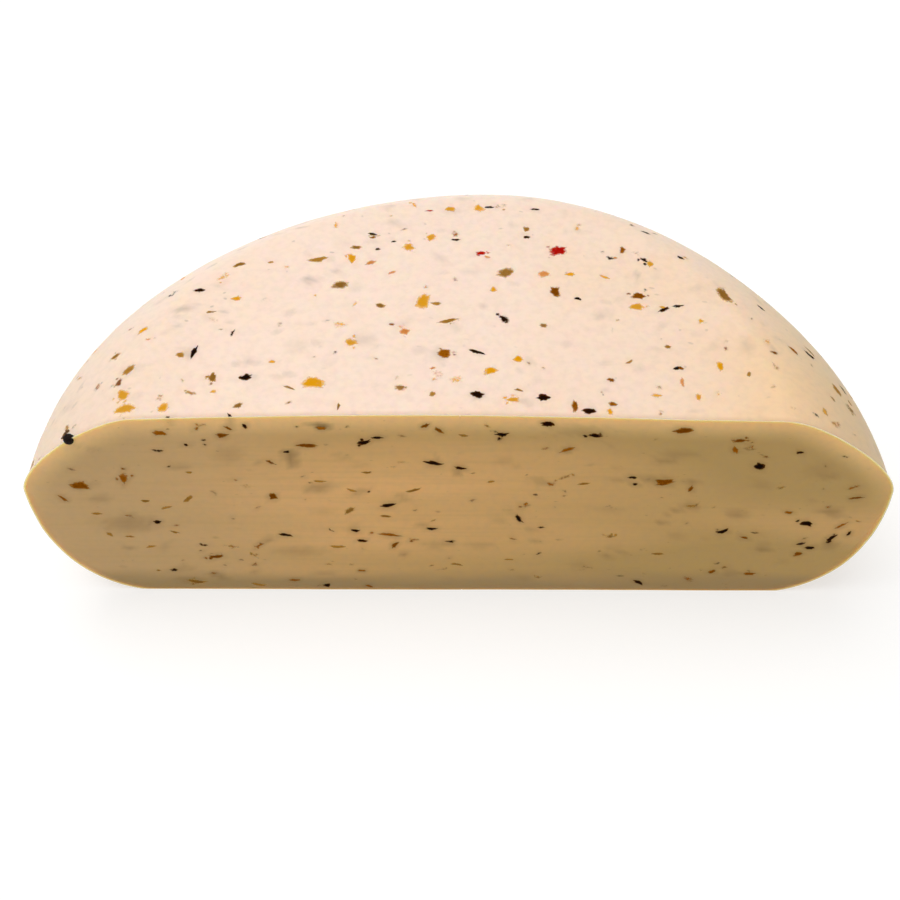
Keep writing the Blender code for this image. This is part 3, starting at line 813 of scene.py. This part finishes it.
class FlakeMaker:
    """Lays thin, crooked flakes on the cheese's own skin and joins them as one mesh.

    Cheese covers a flake's rim, and more of the flake the deeper it is sunk.
    """
    SIDE_STEPS = 3
    # How far a corner is turned from its even place, and how far it is cut back
    CORNER_SHIFT = 0.32
    CORNER_CUT = (0.66, 1.1)
    # How uneven the sides of each kind are
    RAGGED = {"black": (0.72, 1.22), "brown": (0.82, 1.15), "olive": (0.88, 1.1),
              "yellow": (0.92, 1.07), "salmon": (0.92, 1.07), "red": (0.78, 1.18)}
    # A flake is this much larger than listed, for its rim is covered
    FULL = 1.08
    # Below this share of its length a flake is narrow. It is widest in the middle
    NARROW = 0.5
    WAIST = 1.1
    POINTED = 0.6
    BEND = 0.3
    # The underside's share of the outline, and the shares of the full height that flakes stand out
    FOOT = 0.8
    PROUD_SHARES = (0.5, 1.0)
    RIM_WIDTH = 0.28 * MM
    SUNK_RIM_WIDTH = 0.7 * MM
    LIFT = 0.015 * MM
    # Rings inside the rim: share of the outline, share of the height, and how dense it is there
    RINGS = ((0.86, 0.3, 0.6), (0.6, 0.8, 0.92), (0.3, 1.0, 1.0))
    DEEPEST = 0.85

    def __init__(self, skin, sizes):
        self.skin = skin
        self.sizes = sizes
        self.bm = bmesh.new()
        self.look = self.bm.verts.layers.float_color.new("look")

    def on_skin(self, item, place, height):
        """A point of the flake, carried down on the skin below it."""
        found, normal, _, _ = self.skin.find_nearest(item["frame"] @ place)
        return found + normal * height

    def outline(self, item, chance):
        """Uneven corners, joined by slightly ragged sides. A narrow flake has pointed ends."""
        corners = []
        for number, reach in enumerate(item["corners"]):
            turn = 2 * math.pi * (number + chance.uniform(-1, 1) * self.CORNER_SHIFT) / FLAKE_CORNERS
            reach *= chance.uniform(*self.CORNER_CUT)
            u, v = reach * math.cos(turn), reach * math.sin(turn)
            if item["width"] < self.NARROW * item["length"]:
                v *= self.WAIST - self.POINTED * abs(u)
            corners.append(Vector((u * item["length"] / 2, v * item["width"] / 2, 0)))
        points = []
        for corner, following in zip(corners, corners[1:] + corners[:1]):
            for step in range(self.SIDE_STEPS):
                points.append(corner.lerp(following, step / self.SIDE_STEPS)
                              * chance.uniform(*self.RAGGED[item["kind"]]))
        return self.full_size(points, item)

    def full_size(self, points, item):
        """Stretch an outline to the flake's whole length and width."""
        low, high = min(point.x for point in points), max(point.x for point in points)
        wide = max(abs(point.y) for point in points)
        length, width = item["length"] * self.FULL, item["width"] * self.FULL
        return [Vector(((point.x - low) / (high - low) * length - length / 2,
                        point.y / wide * width / 2, 0)) for point in points]

    def ring(self, item, points, scale, widening, height, cover, edge, tint):
        """One closed line of the flake's mesh, with its look noted in each vertex."""
        made = []
        for point in points:
            place = point * scale + point.normalized() * widening
            place.y += item["bend"] * place.x ** 2
            vertex = self.bm.verts.new(self.on_skin(item, place, height))
            vertex[self.look] = (cover, edge, tint, 1)
            made.append(vertex)
        return made

    def add(self, item, chance):
        """One flake: a closed mesh that starts in the cheese and ends just above its skin."""
        item["bend"] = chance.uniform(-1, 1) * self.BEND / item["length"]
        points = self.outline(item, chance)
        depth, tint = item["depth"], chance.random()
        dense = 1 - self.DEEPEST * depth
        proud = self.sizes.flake_proud * (1 - depth) * chance.uniform(*self.PROUD_SHARES)
        rim = self.RIM_WIDTH + self.SUNK_RIM_WIDTH * depth
        rings = [
            self.ring(item, points, self.FOOT, 0, -self.sizes.flake_sunk, 0, 1, tint),
            self.ring(item, points, 1, rim, self.LIFT, 0, 1, tint),
        ]
        for scale, share, cover in self.RINGS:
            height = self.LIFT + share * proud
            rings.append(self.ring(item, points, scale, 0, height, cover * dense, scale, tint))
        centre = self.bm.verts.new(self.on_skin(item, Vector((0, 0, 0)), self.LIFT + proud))
        centre[self.look] = (dense, 0, tint, 1)
        for low, high in zip(rings, rings[1:]):
            for first, second, third, fourth in zip(low, low[1:] + low[:1], high[1:] + high[:1], high):
                self.bm.faces.new((first, second, third, fourth))
        top = rings[-1]
        for first, second in zip(top, top[1:] + top[:1]):
            self.bm.faces.new((first, second, centre))
        self.bm.faces.new(rings[0][::-1])


def new_piece(name, bm):
    """A shaded-smooth object, its faces turned outward, from a mesh that is ready."""
    bmesh.ops.recalc_face_normals(bm, faces=bm.faces[:])
    if bm.calc_volume(signed=True) < 0:
        bmesh.ops.reverse_faces(bm, faces=bm.faces[:])
    mesh = bpy.data.meshes.new(name)
    bm.to_mesh(mesh)
    bm.free()
    mesh.shade_smooth()
    mesh.set_sharp_from_angle(angle=SHARP_ANGLE)
    piece = bpy.data.objects.new(name, mesh)
    bpy.context.scene.collection.objects.link(piece)
    return piece


def stain_cheese(piece, flakes, halo):
    """Note in the skin how dark each place is from sunk flakes and from the flakes beside it."""
    mesh = piece.data
    tree = KDTree(len(mesh.vertices))
    for vertex in mesh.vertices:
        tree.insert(vertex.co, vertex.index)
    tree.balance()
    sunk = [0.0] * len(mesh.vertices)
    beside_dark = [0.0] * len(mesh.vertices)
    beside_warm = [0.0] * len(mesh.vertices)
    for place, length, width, shade in sunk_patches():
        back = place.inverted()
        for point, index, _ in tree.find_range(place.translation, length):
            flat = back @ point
            ragged = 1 + PATCH_FRAY * relief(point, PATCH_FRAY_SIZE)
            away = math.hypot(flat.x / length, flat.y / width) * 2 * ragged
            strength = shade * max(0.0, 1 - away ** 2 / 2) ** 2
            sunk[index] = 1 - (1 - sunk[index]) * (1 - strength)
    for item in flakes:
        beside = beside_dark if item["kind"] in ("black", "brown", "corn") else beside_warm
        back = item["frame"].inverted()
        reach = item["length"] / 2 + 2 * halo
        for point, index, _ in tree.find_range(item["frame"].translation, reach):
            flat = back @ point
            far = math.hypot(flat.x / (item["length"] / 2 + halo), flat.y / (item["width"] / 2 + halo))
            strength = max(0.0, 1 - far ** 2) * (1 - item["depth"])
            beside[index] = max(beside[index], strength)
    layer = mesh.attributes.new("stain", "FLOAT_COLOR", "POINT")
    for index, value in enumerate(zip(sunk, beside_dark, beside_warm)):
        layer.data[index].color = (*value, 1)


class Signal:
    """A socket of a node tree. Python's operators on it add Math or Vector Math nodes."""

    def __init__(self, graph, socket):
        self.graph = graph
        self.socket = socket

    def join(self, operation, first, second):
        """Add one Math node, or a Vector Math node where either side is a vector."""
        sides = (first, second)
        if any(is_vector(side) for side in sides):
            if operation == "MULTIPLY" and not all(is_vector(side) for side in sides):
                vector, factor = sides if is_vector(first) else sides[::-1]
                return self.graph.node("ShaderNodeVectorMath", {"operation": "SCALE"},
                                       {0: vector, "Scale": factor})
            return self.graph.node("ShaderNodeVectorMath", {"operation": operation},
                                   {0: first, 1: second})
        return self.graph.node("ShaderNodeMath", {"operation": operation}, {0: first, 1: second})

    def __add__(self, other):
        return self.join("ADD", self, other)

    def __radd__(self, other):
        return self.join("ADD", other, self)

    def __sub__(self, other):
        return self.join("SUBTRACT", self, other)

    def __rsub__(self, other):
        return self.join("SUBTRACT", other, self)

    def __mul__(self, other):
        return self.join("MULTIPLY", self, other)

    def __rmul__(self, other):
        return self.join("MULTIPLY", other, self)

    def __lt__(self, other):
        return self.join("LESS_THAN", self, other)

    def length(self):
        """How long a vector is."""
        return self.graph.node("ShaderNodeVectorMath", {"operation": "LENGTH"}, {0: self}, "Value")

    def part(self, name):
        """One of a vector's parts, X, Y or Z."""
        return self.graph.node("ShaderNodeSeparateXYZ", {}, {0: self}, name)

    def beside(self, name):
        """Another output of the same node."""
        return Signal(self.graph, self.socket.node.outputs[name])

    def ease(self, low, high):
        """From 0 at low to 1 at high, eased at both ends."""
        settings = {"interpolation_type": "SMOOTHSTEP"}
        sockets = {"Value": self, "From Min": low, "From Max": high}
        return self.graph.node("ShaderNodeMapRange", settings, sockets)

    def mix(self, none, full):
        """A colour between two, by this signal."""
        sockets = {0: self, 6: none, 7: full}
        return self.graph.node("ShaderNodeMix", {"data_type": "RGBA"}, sockets, 2)


def is_vector(value):
    """True for a vector's socket and for a plain tuple of three numbers."""
    if isinstance(value, Signal):
        return value.socket.type in ("VECTOR", "RGBA")
    return isinstance(value, tuple)


class Graph:
    """The node tree of one material or of the world."""

    def __init__(self, owner):
        owner.use_nodes = True
        self.tree = owner.node_tree
        self.tree.nodes.clear()

    @classmethod
    def material(cls, name):
        """The graph of a new material."""
        made = bpy.data.materials.new(name)
        graph = cls(made)
        graph.owner = made
        return graph

    def node(self, kind, settings, sockets, output=0):
        """Add a node: its settings first, then the value or the link of each socket."""
        node = self.tree.nodes.new(kind)
        for name, value in settings.items():
            setattr(node, name, value)
        for name, value in sockets.items():
            socket = node.inputs[name]
            if isinstance(value, Signal):
                self.tree.links.new(value.socket, socket)
            else:
                socket.default_value = opaque(value) if socket.type == "RGBA" else value
        return Signal(self, node.outputs[output] if node.outputs else None)

    def place(self):
        """Where a point lies on the object, in metres."""
        return self.node("ShaderNodeTexCoord", {}, {}, "Object")

    def attribute(self, name):
        """A colour noted in the mesh, as red, green and blue parts."""
        colour = self.node("ShaderNodeAttribute", {"attribute_name": name}, {}, "Color")
        parts = self.node("ShaderNodeSeparateColor", {}, {0: colour}, "Red")
        return parts, parts.beside("Green"), parts.beside("Blue")

    def noise(self, place, size, detail=2.0, roughness=0.5):
        """Soft noise from 0 to 1, with swells of about this size."""
        sockets = {"Vector": place, "Scale": 1 / size, "Detail": detail, "Roughness": roughness}
        return self.node("ShaderNodeTexNoise", {"noise_dimensions": "3D"}, sockets)

    def bump(self, height, depth):
        """A relief this deep, in metres."""
        return self.node("ShaderNodeBump", {}, {"Height": height, "Strength": 1.0, "Distance": depth})

    def surface(self, sockets):
        """Close the graph with its surface, and give the material back."""
        shader = self.node("ShaderNodeBsdfPrincipled", {}, sockets)
        self.node("ShaderNodeOutputMaterial", {}, {"Surface": shader})
        return self.owner


def opaque(colour):
    """A colour with its fourth value, which a colour socket wants."""
    return (*colour[:3], 1.0)


def sunk_herbs(graph, place, cell, size, share, soft):
    """A mask of flat flakes strewn through the whole cheese, cut wherever its surface is."""
    sockets = {"Vector": place, "Scale": 1 / cell, "Randomness": HERB_RANDOMNESS}
    centre = graph.node("ShaderNodeTexVoronoi", {"voronoi_dimensions": "3D"}, sockets, "Position")
    chance = centre.beside("Color")
    lean = chance * (HERB_LEAN, HERB_LEAN, 0.0) + (-HERB_LEAN / 2, -HERB_LEAN / 2, 1.0)
    sockets = {"Vector": place - centre, "Axis": lean, "Angle": chance.part("X") * (2 * math.pi)}
    turned = graph.node("ShaderNodeVectorRotate", {"rotation_type": "AXIS_ANGLE"}, sockets)
    stretched = turned * tuple(2 / side for side in size)
    ragged = (graph.noise(place, HERB_FRAY_SIZE, 1.0) - 0.5) * HERB_FRAY
    inside = (stretched.length() + ragged).ease(1 + soft, 1 - soft)
    return inside * (chance.part("Y") < share), chance.part("Z")


def zone(signal, name):
    """How strongly one zone of the cheese shows, by the place or the depth that it follows."""
    start, full, strength = ZONES[name]
    return signal.ease(start * MM, full * MM) * strength


def patchy(signal, look):
    """Patches where a noise is high."""
    start, full, strength = look
    return signal.ease(start, full) * strength


def on_both(cut, values):
    """One value on the rind and another on the cut."""
    on_rind, on_cut = values
    return cut * (on_cut - on_rind) + on_rind


def rind_colour(graph, place, colours):
    """The smooth outside, with painted shade: palest on top, darker and warmer to the right, darker down
    the side, at both ends and beside the cut.
    """
    across, height = place.part("X"), place.part("Z")
    # Painted shade: darker and warmer towards the right, away from the light
    wandering = graph.noise(place, WANDERING_SIZE, 1.0) * WANDERING
    right_shade = (across * RIGHT_SHADING + wandering - RIGHT_SHADE_START).ease(0.0, 1.0)
    cloud = graph.noise(place, CLOUD_SIZE) * CLOUDS
    rind = cloud.mix(right_shade.mix(colours.rind, colours.rind_right_shade), colours.paste)
    # Painted shade down the side, at the left end and at the right end under the top
    side = zone(across, "right side").mix(colours.rind_side_shade, colours.side_right_shade)
    rind = zone(height, "side").mix(rind, side)
    rind = zone(across, "left end").mix(rind, colours.rind_side_shade)
    right = zone(across, "right end") * zone(height, "under the top")
    rind = right.mix(rind, colours.side_right_shade)
    # Painted shade: the rind darker beside the cut's rounded edge
    return zone(place.part("Y") - AXIS.y, "beside the cut").mix(rind, colours.rind_edge_shade)


def paste_colour(graph, place, colours):
    """The cut: level streaks and dull patches, painted shade under its top, low down, to the right and at
    the foot, and greyer towards the left end.
    """
    across, height = place.part("X"), place.part("Z")
    dull_and_shade = patchy(graph.noise(place * DULL_STRETCH, DULL_SIZE, 1.0), DULL_PATCHES)
    # Painted shade under the top, low down and to the right, added to the dull patches
    dull_and_shade = dull_and_shade + zone(height, "upper cut") + zone(height, "lower cut")
    dull_and_shade = dull_and_shade + zone(across, "right of the cut")
    paste = dull_and_shade.mix(colours.paste, colours.paste_dull_and_shade)
    paste = zone(across, "left of the cut").mix(paste, colours.paste_grey)
    streak = patchy(graph.noise(place * STREAK_STRETCH, STREAK_SIZE, 1.0), STREAKS)
    paste = streak.mix(paste, colours.paste_dull_and_shade)
    # Painted shade: darker close above the base, along a wavy line
    wavy = height + graph.noise(place * FOOT_STRETCH, FOOT_SIZE, 1.0) * FOOT_WAVE
    return zone(wavy, "foot").mix(paste, colours.foot)


def cheese_finish(colours, sizes):
    """Pressed cheese: a pale smooth rind, a darker cut, and herbs showing through both, with painted
    shade and a painted glow along the cut's top edge.
    """
    graph = Graph.material("pressed_cheese")
    place = graph.place()
    sunk, beside_dark, beside_warm = graph.attribute("stain")
    rim_depth = graph.node("ShaderNodeAttribute", {"attribute_name": "rim_depth"}, {}, "Fac")
    cut = zone(rim_depth, "cut")

    body = cut.mix(rind_colour(graph, place, colours), paste_colour(graph, place, colours))
    height = place.part("Z")
    # Painted light: a glowing band inside the cut's top edge
    band = zone(rim_depth, "edge band") * zone(rim_depth, "inside the outline")
    body = (band * zone(height, "height of the edge band")).mix(body, colours.paste_edge_glow)
    # Painted shade: the cut darker along its rim, where light comes through the rounded edge
    rim = zone(rim_depth, "rim of the cut") * cut
    body = (rim * RIM_SHADE).mix(body, colours.paste_dull_and_shade)
    # Painted shade: the rims of cut and rind darker low down, in the foot's colour
    rim = zone(place.part("Y") - AXIS.y, "rim of the rind") * (1 - cut) + rim
    body = (rim * zone(height, "low rim")).mix(body, colours.foot)
    body = (beside_warm * STAIN_OF_YELLOW).mix(body, colours.yellow)
    fine = graph.noise(place, MOTTLE_SIZE, 3.0)
    body = patchy(fine, MOTTLE).mix(body, colours.sunk)

    shade = beside_dark * on_both(cut, STAIN_SHARES) + sunk * on_both(cut, SUNK_SHARES)
    for cell, size, share, soft, strength in SUNK_HERBS:
        herbs, chance = sunk_herbs(graph, place, cell, size, share, soft)
        shade = shade + herbs * (chance * strength)
    body = shade.mix(body, cut.mix(colours.sunk, colours.sunk_cut))

    knife = graph.noise(place * KNIFE_STRETCH, KNIFE_SIZE, 1.0)
    normal = graph.bump(fine + knife * cut * KNIFE_SHARE, SKIN_RELIEF)
    varies = graph.noise(place, ROUGHNESS_SIZE, 1.0) * ROUGHNESS_VARIES
    return graph.surface({
        "Base Color": body,
        "Roughness": varies + on_both(cut, ROUGHNESS),
        "Normal": normal,
        "IOR": 1.42,
        "Specular IOR Level": 0.3,
        "Subsurface Weight": 1.0,
        "Subsurface Radius": (1.0, 0.62, 0.30),
        "Subsurface Scale": sizes.translucency,
    })


# How each kind of flake looks besides its own colour: a second tone, its rim, and how dense
# it has to be noted in the mesh to hide the cheese altogether
FLAKE_LOOKS = {
    "black": {"second": (0.016, 0.004, 0.001), "rim": (0.10, 0.03, 0.004), "full": 0.48},
    "brown": {"second": (0.34, 0.10, 0.002), "rim": (0.40, 0.17, 0.02), "full": 0.8},
    "olive": {"second": (0.42, 0.20, 0.03), "rim": (0.52, 0.30, 0.07), "full": 0.85},
    "yellow": {"second": (0.60, 0.29, 0.03), "rim": (0.74, 0.42, 0.10), "full": 0.85},
    "salmon": {"second": (0.66, 0.27, 0.08), "rim": (0.76, 0.40, 0.18), "full": 0.9},
    "red": {"second": (0.38, 0.004, 0.002), "rim": (0.50, 0.05, 0.02), "full": 0.75},
}


def flake_finish(kind, colours):
    """A dried flake: two tones at its core, a paler rim, and thin where it is sunk."""
    look = FLAKE_LOOKS[kind]
    graph = Graph.material(kind + "_flake")
    place = graph.place()
    cover, edge, tint = graph.attribute("look")
    grain = graph.noise(place, GRAIN_SIZE, 3.0, 0.6)
    mottle = (grain - 0.5) * GRAIN_SHARE
    core = (tint * TINT_SHARE + mottle).ease(*SECOND_TONE).mix(getattr(colours, kind), look["second"])
    colour = (edge + mottle).ease(*RIM_TONE).mix(core, look["rim"])
    fray = (graph.noise(place, FRAY_SIZE, 2.0) - 0.5) * cover * (FRAY_END - cover) * FRAY
    return graph.surface({
        "Base Color": colour,
        "Roughness": grain * 0.2 + 0.5,
        "Normal": graph.bump(grain, GRAIN_RELIEF),
        "Alpha": (cover + fray).ease(BARE, look["full"]),
        "IOR": 1.4,
        "Specular IOR Level": 0.0,
    })


def corn_finish(name, dark, pale):
    """Dry wrinkled pepper in two tones."""
    graph = Graph.material(name)
    wrinkle = graph.noise(graph.place(), WRINKLE_SIZE, 4.0, 0.6)
    return graph.surface({
        "Base Color": wrinkle.ease(0.4, 0.8).mix(dark, pale),
        "Roughness": wrinkle * 0.4 + 0.4,
        "Normal": graph.bump(wrinkle, WRINKLE_RELIEF),
        "IOR": 1.5,
        "Specular IOR Level": 0.1,
    })


def table_finish(studio):
    """The pale table: matt, with the faintest unevenness."""
    graph = Graph.material("pale_table")
    place = graph.place()
    mottle = graph.noise(place, TABLE_MOTTLE_SIZE, 3.0)
    paler = tuple(min(1.0, part * 1.02) for part in studio.table)
    colour = mottle.mix(tuple(studio.table), paler)
    return graph.surface({
        "Base Color": colour,
        "Roughness": mottle * 0.1 + 0.75,
        "Specular IOR Level": 0.2,
        "Emission Color": (1.0, 1.0, 1.0),
        "Emission Strength": studio.glow,
    })


class CHEESE_OT_body(bpy.types.Operator):
    """Make the half wheel of cheese: rind, base and cut"""
    bl_idname = "cheese.body"
    bl_label = "Cheese"

    def execute(self, context):
        sizes = context.scene.cheese_sizes
        piece = new_piece("cheese", HalfWheel(sizes).build())
        stain_cheese(piece, all_flakes(), sizes.halo)
        piece.data.materials.append(cheese_finish(context.scene.cheese_colours, sizes))
        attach(piece, "root")
        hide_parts(NODE)
        return {"FINISHED"}


def cheese_skin():
    """The finished cheese's surface, to lay the flakes on."""
    cheese = bpy.data.objects.get("cheese")
    if cheese is None:
        raise RuntimeError("make the cheese first")
    bm = bmesh.new()
    bm.from_mesh(cheese.data)
    tree = BVHTree.FromBMesh(bm)
    bm.free()
    return tree


class CHEESE_OT_flakes(bpy.types.Operator):
    """Lay all the flakes of one kind on the cheese, as one mesh"""
    bl_idname = "cheese.flakes"
    bl_label = "Flakes"
    kind: EnumProperty(name="Kind", description="Which flakes",
                       items=[(kind, kind.capitalize(), f"The {kind} ones") for kind in KINDS])

    def execute(self, context):
        maker = FlakeMaker(cheese_skin(), context.scene.cheese_sizes)
        chance = random.Random(self.kind)
        for item in all_flakes():
            if item["kind"] == self.kind:
                maker.add(item, chance)
        piece = new_piece(self.kind + "_flakes", maker.bm)
        piece.data.materials.append(flake_finish(self.kind, context.scene.cheese_colours))
        # So thin a flake lets light through to the cheese that closes over its rim
        piece.visible_shadow = False
        piece.visible_diffuse = False
        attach(piece, "root")
        return {"FINISHED"}


class CHEESE_OT_peppercorn(bpy.types.Operator):
    """Set the cracked peppercorn in the cut's top edge, with the hull it has split from"""
    bl_idname = "cheese.peppercorn"
    bl_label = "Peppercorn"
    SUBDIVISIONS = 5
    # Folds and cracks of its skin: their depth, how many there are, and where the noise is cut
    WRINKLE = 0.07
    FOLDS = 2.6
    FOLD_PLACE = Vector((3, 1, 7))
    CRACK = 0.06
    CRACKS = 1.3
    CRACK_PLACE = Vector((9, 4, 2))
    # Shares of the peppercorn's width: its core's radius, how far its middle is above the skin,
    # the hull's radius and the hull's wall
    CORE = 0.45
    LIFT = 0.19
    HULL = 1.35
    HULL_WALL = 0.13
    # The way to the shard's middle, how far it reaches from there (a cosine), how high it rises
    # and how frayed it is
    HULL_WAY = Vector((-0.57, 0.82, 0)).normalized()
    HULL_REACH = 0.92
    HULL_RISE = 0.04
    HULL_FRAY = 0.06
    HULL_FRAYS = 5.0
    # From the place that is listed to its middle
    MOVED = Vector((0.2 * MM, -2.1 * MM, 0))
    CORE_PALE = (0.03, 0.015, 0.008)
    HULL_DARK = (0.14, 0.075, 0.025)
    HULL_PALE = (0.42, 0.29, 0.17)

    def wrinkled_ball(self, radius):
        """A closed ball with folds and a few dents."""
        bm = bmesh.new()
        bmesh.ops.create_icosphere(bm, subdivisions=self.SUBDIVISIONS, radius=1.0)
        for vertex in bm.verts:
            way = vertex.co.normalized()
            fold = 1 - abs(noise.noise(way * self.FOLDS + self.FOLD_PLACE)) * 2
            crack = noise.noise(way * self.CRACKS + self.CRACK_PLACE)
            vertex.co = way * (1 + self.WRINKLE * (fold - 0.5) + self.CRACK * crack) * radius
        return bm

    def hull(self, width):
        """A shard of a hollow ball behind the core, of which only the upper rim stands out."""
        bm = self.wrinkled_ball(self.HULL * width)
        spare = []
        for vertex in bm.verts:
            way = vertex.co.normalized()
            frayed = self.HULL_FRAY * noise.noise(way * self.HULL_FRAYS)
            if way.dot(self.HULL_WAY) < self.HULL_REACH + frayed or way.z > self.HULL_RISE + frayed:
                spare.append(vertex)
        bmesh.ops.delete(bm, geom=spare, context="VERTS")
        bmesh.ops.solidify(bm, geom=bm.faces[:], thickness=self.HULL_WALL * width)
        return bm

    def execute(self, context):
        x, y, width = (value * MM for value in PEPPERCORN)
        colours = context.scene.cheese_colours
        place = top_frame(x + self.MOVED.x, y + self.MOVED.y, 0)
        place @= Matrix.Translation((0, 0, self.LIFT * width))
        core = corn_finish("pepper_core", colours.black, self.CORE_PALE)
        husk = corn_finish("pepper_hull", self.HULL_DARK, self.HULL_PALE)
        for name, bm, finish in (("peppercorn", self.wrinkled_ball(self.CORE * width), core),
                                 ("peppercorn_hull", self.hull(width), husk)):
            bmesh.ops.transform(bm, matrix=place, verts=bm.verts)
            piece = new_piece(name, bm)
            piece.data.materials.append(finish)
            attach(piece, "root")
        return {"FINISHED"}


class CHEESE_OT_stage(bpy.types.Operator):
    """Make the table, the lights and the camera"""
    bl_idname = "cheese.stage"
    bl_label = "Table and lights"
    TABLE_SIZE = 12.0
    KEY_PLACE = Vector((-0.30, 0.10, 1.30))
    KEY_AIM = Vector((0, 0, 0.04))
    KEY_SIZE = 1.5
    KEY_COLOUR = (1.0, 0.985, 0.96)
    SENSOR_WIDTH = 36.0
    CLIP_START = 0.01

    def execute(self, context):
        studio = context.scene.cheese_studio
        self.add_table(studio)
        self.add_world(context.scene, studio)
        self.add_key(context.scene, studio)
        self.add_camera(context.scene)
        context.scene.view_settings.view_transform = "Standard"
        return {"FINISHED"}

    def add_table(self, studio):
        bm = bmesh.new()
        bmesh.ops.create_grid(bm, x_segments=4, y_segments=4, size=self.TABLE_SIZE / 2)
        table = new_piece("table", bm)
        table.data.materials.append(table_finish(studio))

    def add_world(self, scene, studio):
        world = bpy.data.worlds.new("soft_room")
        scene.world = world
        graph = Graph(world)
        light = graph.node("ShaderNodeBackground", {}, {"Color": (1.0, 1.0, 1.0), "Strength": studio.sky})
        graph.node("ShaderNodeOutputWorld", {}, {"Surface": light})

    def add_key(self, scene, studio):
        lamp = bpy.data.lights.new("key", "AREA")
        lamp.shape = "SQUARE"
        lamp.size = self.KEY_SIZE
        lamp.energy = studio.key
        lamp.color = self.KEY_COLOUR
        holder = bpy.data.objects.new("key", lamp)
        holder.location = self.KEY_PLACE
        aim = self.KEY_AIM - self.KEY_PLACE
        holder.rotation_euler = aim.to_track_quat("-Z", "Y").to_euler()
        scene.collection.objects.link(holder)

    def add_camera(self, scene):
        lens = bpy.data.cameras.new("camera")
        lens.sensor_width = self.SENSOR_WIDTH
        lens.lens = CAMERA_LENS
        lens.clip_start = self.CLIP_START
        camera = bpy.data.objects.new("camera", lens)
        camera.location = CAMERA_PLACE
        look = (CAMERA_AIM - CAMERA_PLACE).to_track_quat("-Z", "Y").to_matrix()
        roll = Matrix.Rotation(CAMERA_ROLL, 3, "Z")
        camera.rotation_euler = (look @ roll).to_euler()
        scene.collection.objects.link(camera)
        scene.camera = camera


class CHEESE_PT_panel(bpy.types.Panel):
    """Lists the pieces in the order in which they are made"""
    bl_idname = "CHEESE_PT_panel"
    bl_label = "Pepper Cheese"
    bl_space_type = "VIEW_3D"
    bl_region_type = "UI"
    bl_category = "Pepper Cheese"

    def draw(self, context):
        scene = context.scene
        for settings in (scene.cheese_sizes, scene.cheese_colours, scene.cheese_studio):
            box = self.layout.box()
            for name in settings.__annotations__:
                box.prop(settings, name)
        column = self.layout.column()
        column.operator("cheese.body")
        column.operator_menu_enum("cheese.flakes", "kind")
        column.operator("cheese.peppercorn")
        column.operator("cheese.stage")


CLASSES = (
    CheeseSizes, CheeseColours, StudioSettings, CHEESE_OT_body, CHEESE_OT_flakes,
    CHEESE_OT_peppercorn, CHEESE_OT_stage, CHEESE_PT_panel,
)


def register():
    for item in CLASSES:
        bpy.utils.register_class(item)
    bpy.types.Scene.cheese_sizes = PointerProperty(type=CheeseSizes)
    bpy.types.Scene.cheese_colours = PointerProperty(type=CheeseColours)
    bpy.types.Scene.cheese_studio = PointerProperty(type=StudioSettings)


def unregister():
    del bpy.types.Scene.cheese_studio
    del bpy.types.Scene.cheese_colours
    del bpy.types.Scene.cheese_sizes
    for item in reversed(CLASSES):
        bpy.utils.unregister_class(item)


def main():
    register()
    bpy.ops.cheese.body()
    for kind in KINDS:
        bpy.ops.cheese.flakes(kind=kind)
    bpy.ops.cheese.peppercorn()
    bpy.ops.cheese.stage()


if __name__ == "__main__":
    main()
